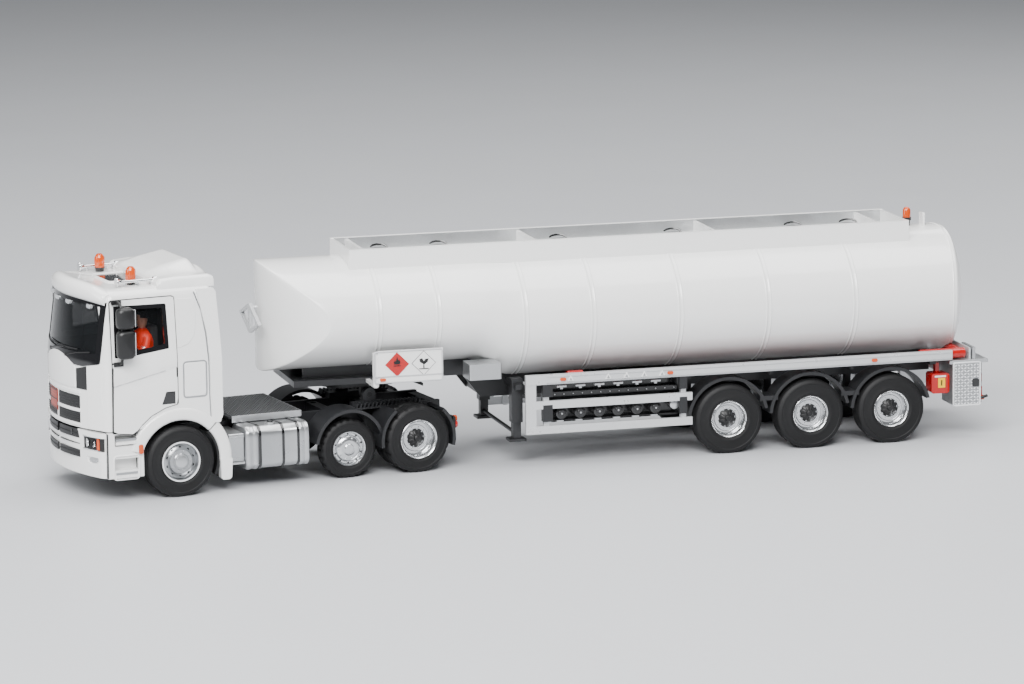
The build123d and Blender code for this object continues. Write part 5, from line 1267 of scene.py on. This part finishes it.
def make_rails():
    """Bright lower lips on the trays, amber markers and small blank warning triangles."""
    lip = box(53.4, 183.3, -25.6, -25.3, 25.0, 25.6)
    groove = box(53.4, 183.3, -25.55, -25.3, 27.1, 27.3)
    finish_piece("rail_lips", both(merged([lip, groove])), "trailer", ALLOY, bevel=0.08)
    markers = [prism(rounded(x - 0.95, x + 0.95, 25.9, 26.9, 0.45), "Y", -25.65, -25.3)
               for x in RAIL_MARKERS]
    markers.append(prism(rounded(1.8, 3.7, 29.0, 29.9, 0.42), "Y", -25.35, -24.9))
    finish_piece("side_markers", both(merged(markers)), "trailer", AMBER)
    signs = [prism([(x - 0.95, 25.75), (x + 0.95, 25.75), (x, 27.5)], "Y", -25.56, -25.3)
             for x in (61.0, 72.8, 78.6, 84.2, 89.8)]
    finish_piece("rail_triangles", both(merged(signs)), "trailer", BOARD)
    bars = [prism([(x - 0.42, 25.95), (x + 0.42, 25.95), (x, 26.9)], "Y", -25.62, -25.5)
            for x in (61.0, 72.8, 78.6, 84.2, 89.8)]
    finish_piece("triangle_marks", both(merged(bars)), "trailer", STEEL)
    posts = [box(x0, x1, -25.24, -24.0, z0, z1) for x0, x1 in ((52.3, 55.4), (95.4, 97.9))
             for z0, z1 in ((13.5, 18.7), (21.1, 24.95))]
    finish_piece("guard_posts", both(merged(posts)), "trailer", FRAME_GREY, bevel=0.1)


def diamond(x, z, reach, y0, y1):
    return prism([(x - reach, z), (x, z - reach), (x + reach, z), (x, z + reach)], "Y", y0, y1)


def make_placards():
    """Two blank-lettered hazard diamonds on the board: a flame on red and a leaf on white."""
    base = -25.0
    z = 33.9
    finish_piece("placard_red", both(diamond(7.2, z, 3.7, base - 0.12, base + 0.1)), "trailer",
                 HOSE_RED)
    outline = both(merged([diamond(15.4, z, 3.75, base - 0.08, base + 0.1)]))
    finish_piece("placard_outline", outline, "trailer", BLACK)
    finish_piece("placard_white", both(diamond(15.4, z, 3.55, base - 0.14, base + 0.1)), "trailer",
                 BOARD)
    flame = [(-0.9, 0.0), (-1.05, 0.7), (-0.6, 1.3), (-0.45, 0.8), (0.0, 2.3), (0.35, 1.2), (0.6, 1.5),
             (1.0, 0.7), (0.8, 0.0)]
    leaf = [(-0.2, -1.5), (0.2, -1.5), (0.15, -0.4), (1.2, 0.3), (1.5, 1.3), (0.5, 1.2), (0.0, 0.5),
            (-0.5, 1.5), (-1.4, 1.2), (-1.2, 0.3), (-0.15, -0.3)]
    marks = [prism([(7.2 + u, z + v) for u, v in flame], "Y", base - 0.2, base),
             box(6.1, 8.3, base - 0.2, base, z - 0.55, z - 0.3),
             prism([(15.4 + u, z + v) for u, v in leaf], "Y", base - 0.22, base),
             box(13.9, 16.9, base - 0.22, base, z - 1.85, z - 1.6)]
    finish_piece("placard_marks", both(merged(marks)), "trailer", BLACK)
    frame_bars = [box(0.1, 21.3, base - 0.3, base + 0.2, 30.3, 30.5)]
    rim = [(x, base - 0.05, z) for x, z in rounded(0.3, 21.1, 28.5, 37.9, 0.5)]
    frame_bars.append(tube(rim + rim[:1], 0.22, 6))
    finish_piece("placard_frame", both(merged(frame_bars)), "trailer", RAIL)


# ---------------------------------------------------------------- trailer rear
def make_rear():
    """Checker-plate lockers, latches, deck, hose ends, lamps and the amber beacon."""
    face = -25.2
    # The lozenges and their rim are in a lighter metal than the steel door plate below them: painted highlight
    # on the lozenges and painted shade in the gaps.
    studs = []
    for row in range(14):
        for column in range(8):
            x, z = 184.6 + column * 1.03, 11.1 + row * 0.92
            lean = 1 if (row + column) % 2 else -1
            studs.append(prism([(x - 0.44, z - 0.3 * lean), (x + 0.14 * lean, z - 0.2),
                                (x + 0.44, z + 0.3 * lean), (x - 0.14 * lean, z + 0.2)], "Y",
                               face - 0.16, face + 0.05))
    rim = [(x, face - 0.02, z) for x, z in rounded(183.9, 192.6, 10.5, 23.9, 0.4)]
    studs.append(tube(rim + rim[:1], 0.26, 6))
    finish_piece("locker_tread_highlights", both(merged(studs)), "trailer", PAINTED_HIGHLIGHT_METAL)
    latch = prism(rounded(189.9, 192.2, 16.2, 18.7, 0.5), "Y", face - 0.4, face)
    hinge = box(192.9, 193.4, -24.4, -23.6, 11.0, 23.4)
    door = box(184.0, 192.6, face - 0.04, face + 0.05, 10.5, 23.9)
    finish_piece("locker_latches", both(merged([latch, hinge])), "trailer", GLOSS_BLACK,
                 bevel=0.08)
    # The darker steel plate is painted shade between the lozenges.
    finish_piece("locker_doors_shaded", both(door), "trailer", STEEL)
    deck = [box(183.4, 194.8, -25.3, 25.3, 24.1, 24.75),
            rod((194.35, -25.2, 24.4), (194.35, 25.2, 24.4), 0.5, 12)]
    finish_piece("rear_deck", merged(deck), "trailer", ALLOY, bevel=0.08)
    side_hose = [rod((56.0, -22.4, 26.0), (174.6, -22.4, 26.0), 1.2, 20),
                 rod((60.6, -22.8, 26.9), (65.4, -22.8, 26.9), 1.5, 20),
                 rod((173.6, -23.0, 26.7), (188.0, -23.0, 26.7), 1.6, 24)]
    hose = rod((187.0, -21.4, 26.6), (187.0, 21.4, 26.6), 1.45, 24)
    shown = finish_piece("hose_run", merged([both(merged(side_hose)), hose]), "trailer",
                         HOSE_RED, smooth=50)
    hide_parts("hose_tubes")
    guard = box(189.3, 189.8, -24.2, 24.2, 24.7, 28.3)
    finish_piece("hose_guard", guard, "trailer", RAIL, bevel=0.08)
    label = box(179.7, 182.0, -22.95, -22.7, 16.0, 19.0)
    finish_piece("extinguisher_labels", both(label), "trailer", YELLOW)
    strip = box(178.6, 182.2, -22.9, -22.7, 19.3, 19.8)
    symbol = box(180.6, 181.0, -23.02, -22.9, 16.7, 18.4)
    finish_piece("extinguisher_marks", both(strip), "trailer", BOARD)
    finish_piece("extinguisher_symbols", both(symbol), "trailer", BLACK)
    red = [box(192.6, 194.0, -23.4, -18.4, 11.6, 15.8), box(192.6, 193.8, -23.6, -16.0, 17.4, 20.0)]
    shown = finish_piece("rear_stop_lamps", both(merged(red)), "trailer", RED_LENS,
                         bevel=0.1)
    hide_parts("rear_lamps")
    amber = lathe([(66.0, 0.05), (66.0, 1.25), (68.4, 1.2), (69.1, 0.8), (69.4, 0.05)], "Z", (177.4, 0, 0), 28)
    outline = both(merged([box(192.8, 193.9, -25.4, -23.8, 12.0, 13.2)]))
    finish_piece("rear_amber_lamps", merged([amber, outline]), "trailer", AMBER,
                 smooth=50)
    stem = lathe([(62.8, 0.05), (62.8, 1.0), (65.0, 1.1), (65.2, 1.4), (66.1, 1.4), (66.15, 0.05)], "Z",
                 (177.4, 0, 0), 24)
    stalk = rod((192.8, -25.4, 12.6), (194.9, -25.5, 13.2), 0.45)
    finish_piece("rear_beacon_base", merged([stem, both(stalk)]), "trailer", BLACK)
    plate = prism(rounded(-1.6, 2.0, 62.0, 67.4, 0.3), "X", 182.2, 182.8)
    finish_piece("rear_roof_plate", plate, "trailer", TANK_WHITE)


# ---------------------------------------------------------------- stage
CAMERA_PLACE = Vector((-345.81, -1444.76, 306.15))
CAMERA_AZIMUTH = -15.31
CAMERA_ELEVATION = 10.30
CAMERA_ROLL = -0.57
CAMERA_LENS = 175.1


def make_camera():
    turn, rise, roll = (math.radians(a) for a in (CAMERA_AZIMUTH, CAMERA_ELEVATION, CAMERA_ROLL))
    back = Vector((math.sin(turn) * math.cos(rise), -math.cos(turn) * math.cos(rise), math.sin(rise)))
    right = Vector((0, 0, 1)).cross(back).normalized()
    up = back.cross(right)
    right, up = (math.cos(roll) * right + math.sin(roll) * up, math.cos(roll) * up - math.sin(roll) * right)
    lens = bpy.data.cameras.new("camera")
    lens.lens = CAMERA_LENS
    lens.sensor_width = 36
    camera = bpy.data.objects.new("camera", lens)
    pose = Matrix((right, up, back)).transposed().to_4x4()
    camera.matrix_world = Matrix.Translation(TRAILER @ CAMERA_PLACE) @ pose
    bpy.context.collection.objects.link(camera)
    bpy.context.scene.camera = camera


def area_light(name, place, aim, size, energy, color=(1, 1, 1)):
    lamp = bpy.data.lights.new(name, "AREA")
    lamp.shape = "RECTANGLE"
    lamp.size, lamp.size_y = size
    lamp.energy = energy
    lamp.color = color
    holder = bpy.data.objects.new(name, lamp)
    holder.location = place
    holder.rotation_euler = (Vector(aim) - Vector(place)).to_track_quat("-Z", "Y").to_euler()
    bpy.context.collection.objects.link(holder)


def make_stage():
    ground = raw_mesh([(-3, -3, 0), (3, -3, 0), (3, 3, 0), (-3, 3, 0)], [(0, 1, 2, 3)])
    floor = bpy.data.objects.new("floor", ground)
    bpy.context.collection.objects.link(floor)
    ground.materials.append(material("floor_pale", (0.5, 0.51, 0.53), rough=0.5, grain=300, bump=0.02,
                                     vary=0.02, rough_vary=0.05))
    sky = bpy.data.worlds.new("studio")
    sky.use_nodes = True
    sky.node_tree.nodes["Background"].inputs["Color"].default_value = (0.75, 0.78, 0.82, 1)
    sky.node_tree.nodes["Background"].inputs["Strength"].default_value = 0.2
    bpy.context.scene.world = sky
    area_light("key", (-0.35, -0.75, 0.75), (0, 0, 0.03), (0.9, 0.5), 27)
    area_light("top", (0.1, 0.1, 0.9), (0, 0, 0.03), (1.2, 0.6), 13)
    area_light("side", (-0.9, -0.1, 0.35), (-0.1, 0, 0.04), (0.4, 0.4), 3.5)
    area_light("rear", (0.7, 0.6, 0.6), (0, 0, 0.05), (0.6, 0.4), 3)


dress_frame()
make_front_wheels()
make_lift_wheels()
make_drive_wheels()
make_trailer_wheels()
make_tank()
make_tank_bands()
make_tail_seam()
make_walkway()
make_lids()
make_cab_shell()
make_doors()
make_cab_sides()
make_arch_bands()
make_windscreen_trim()
make_front_panels()
make_visor()
make_spoiler()
make_roof_fittings()
make_mirrors()
make_cab_inside()
make_glass()
make_lower_front()
make_steps()
make_fuel_tank()
make_catwalk()
make_tail_lamps()
make_couplers()
make_rails()
make_placards()
make_rear()
make_camera()
make_stage()
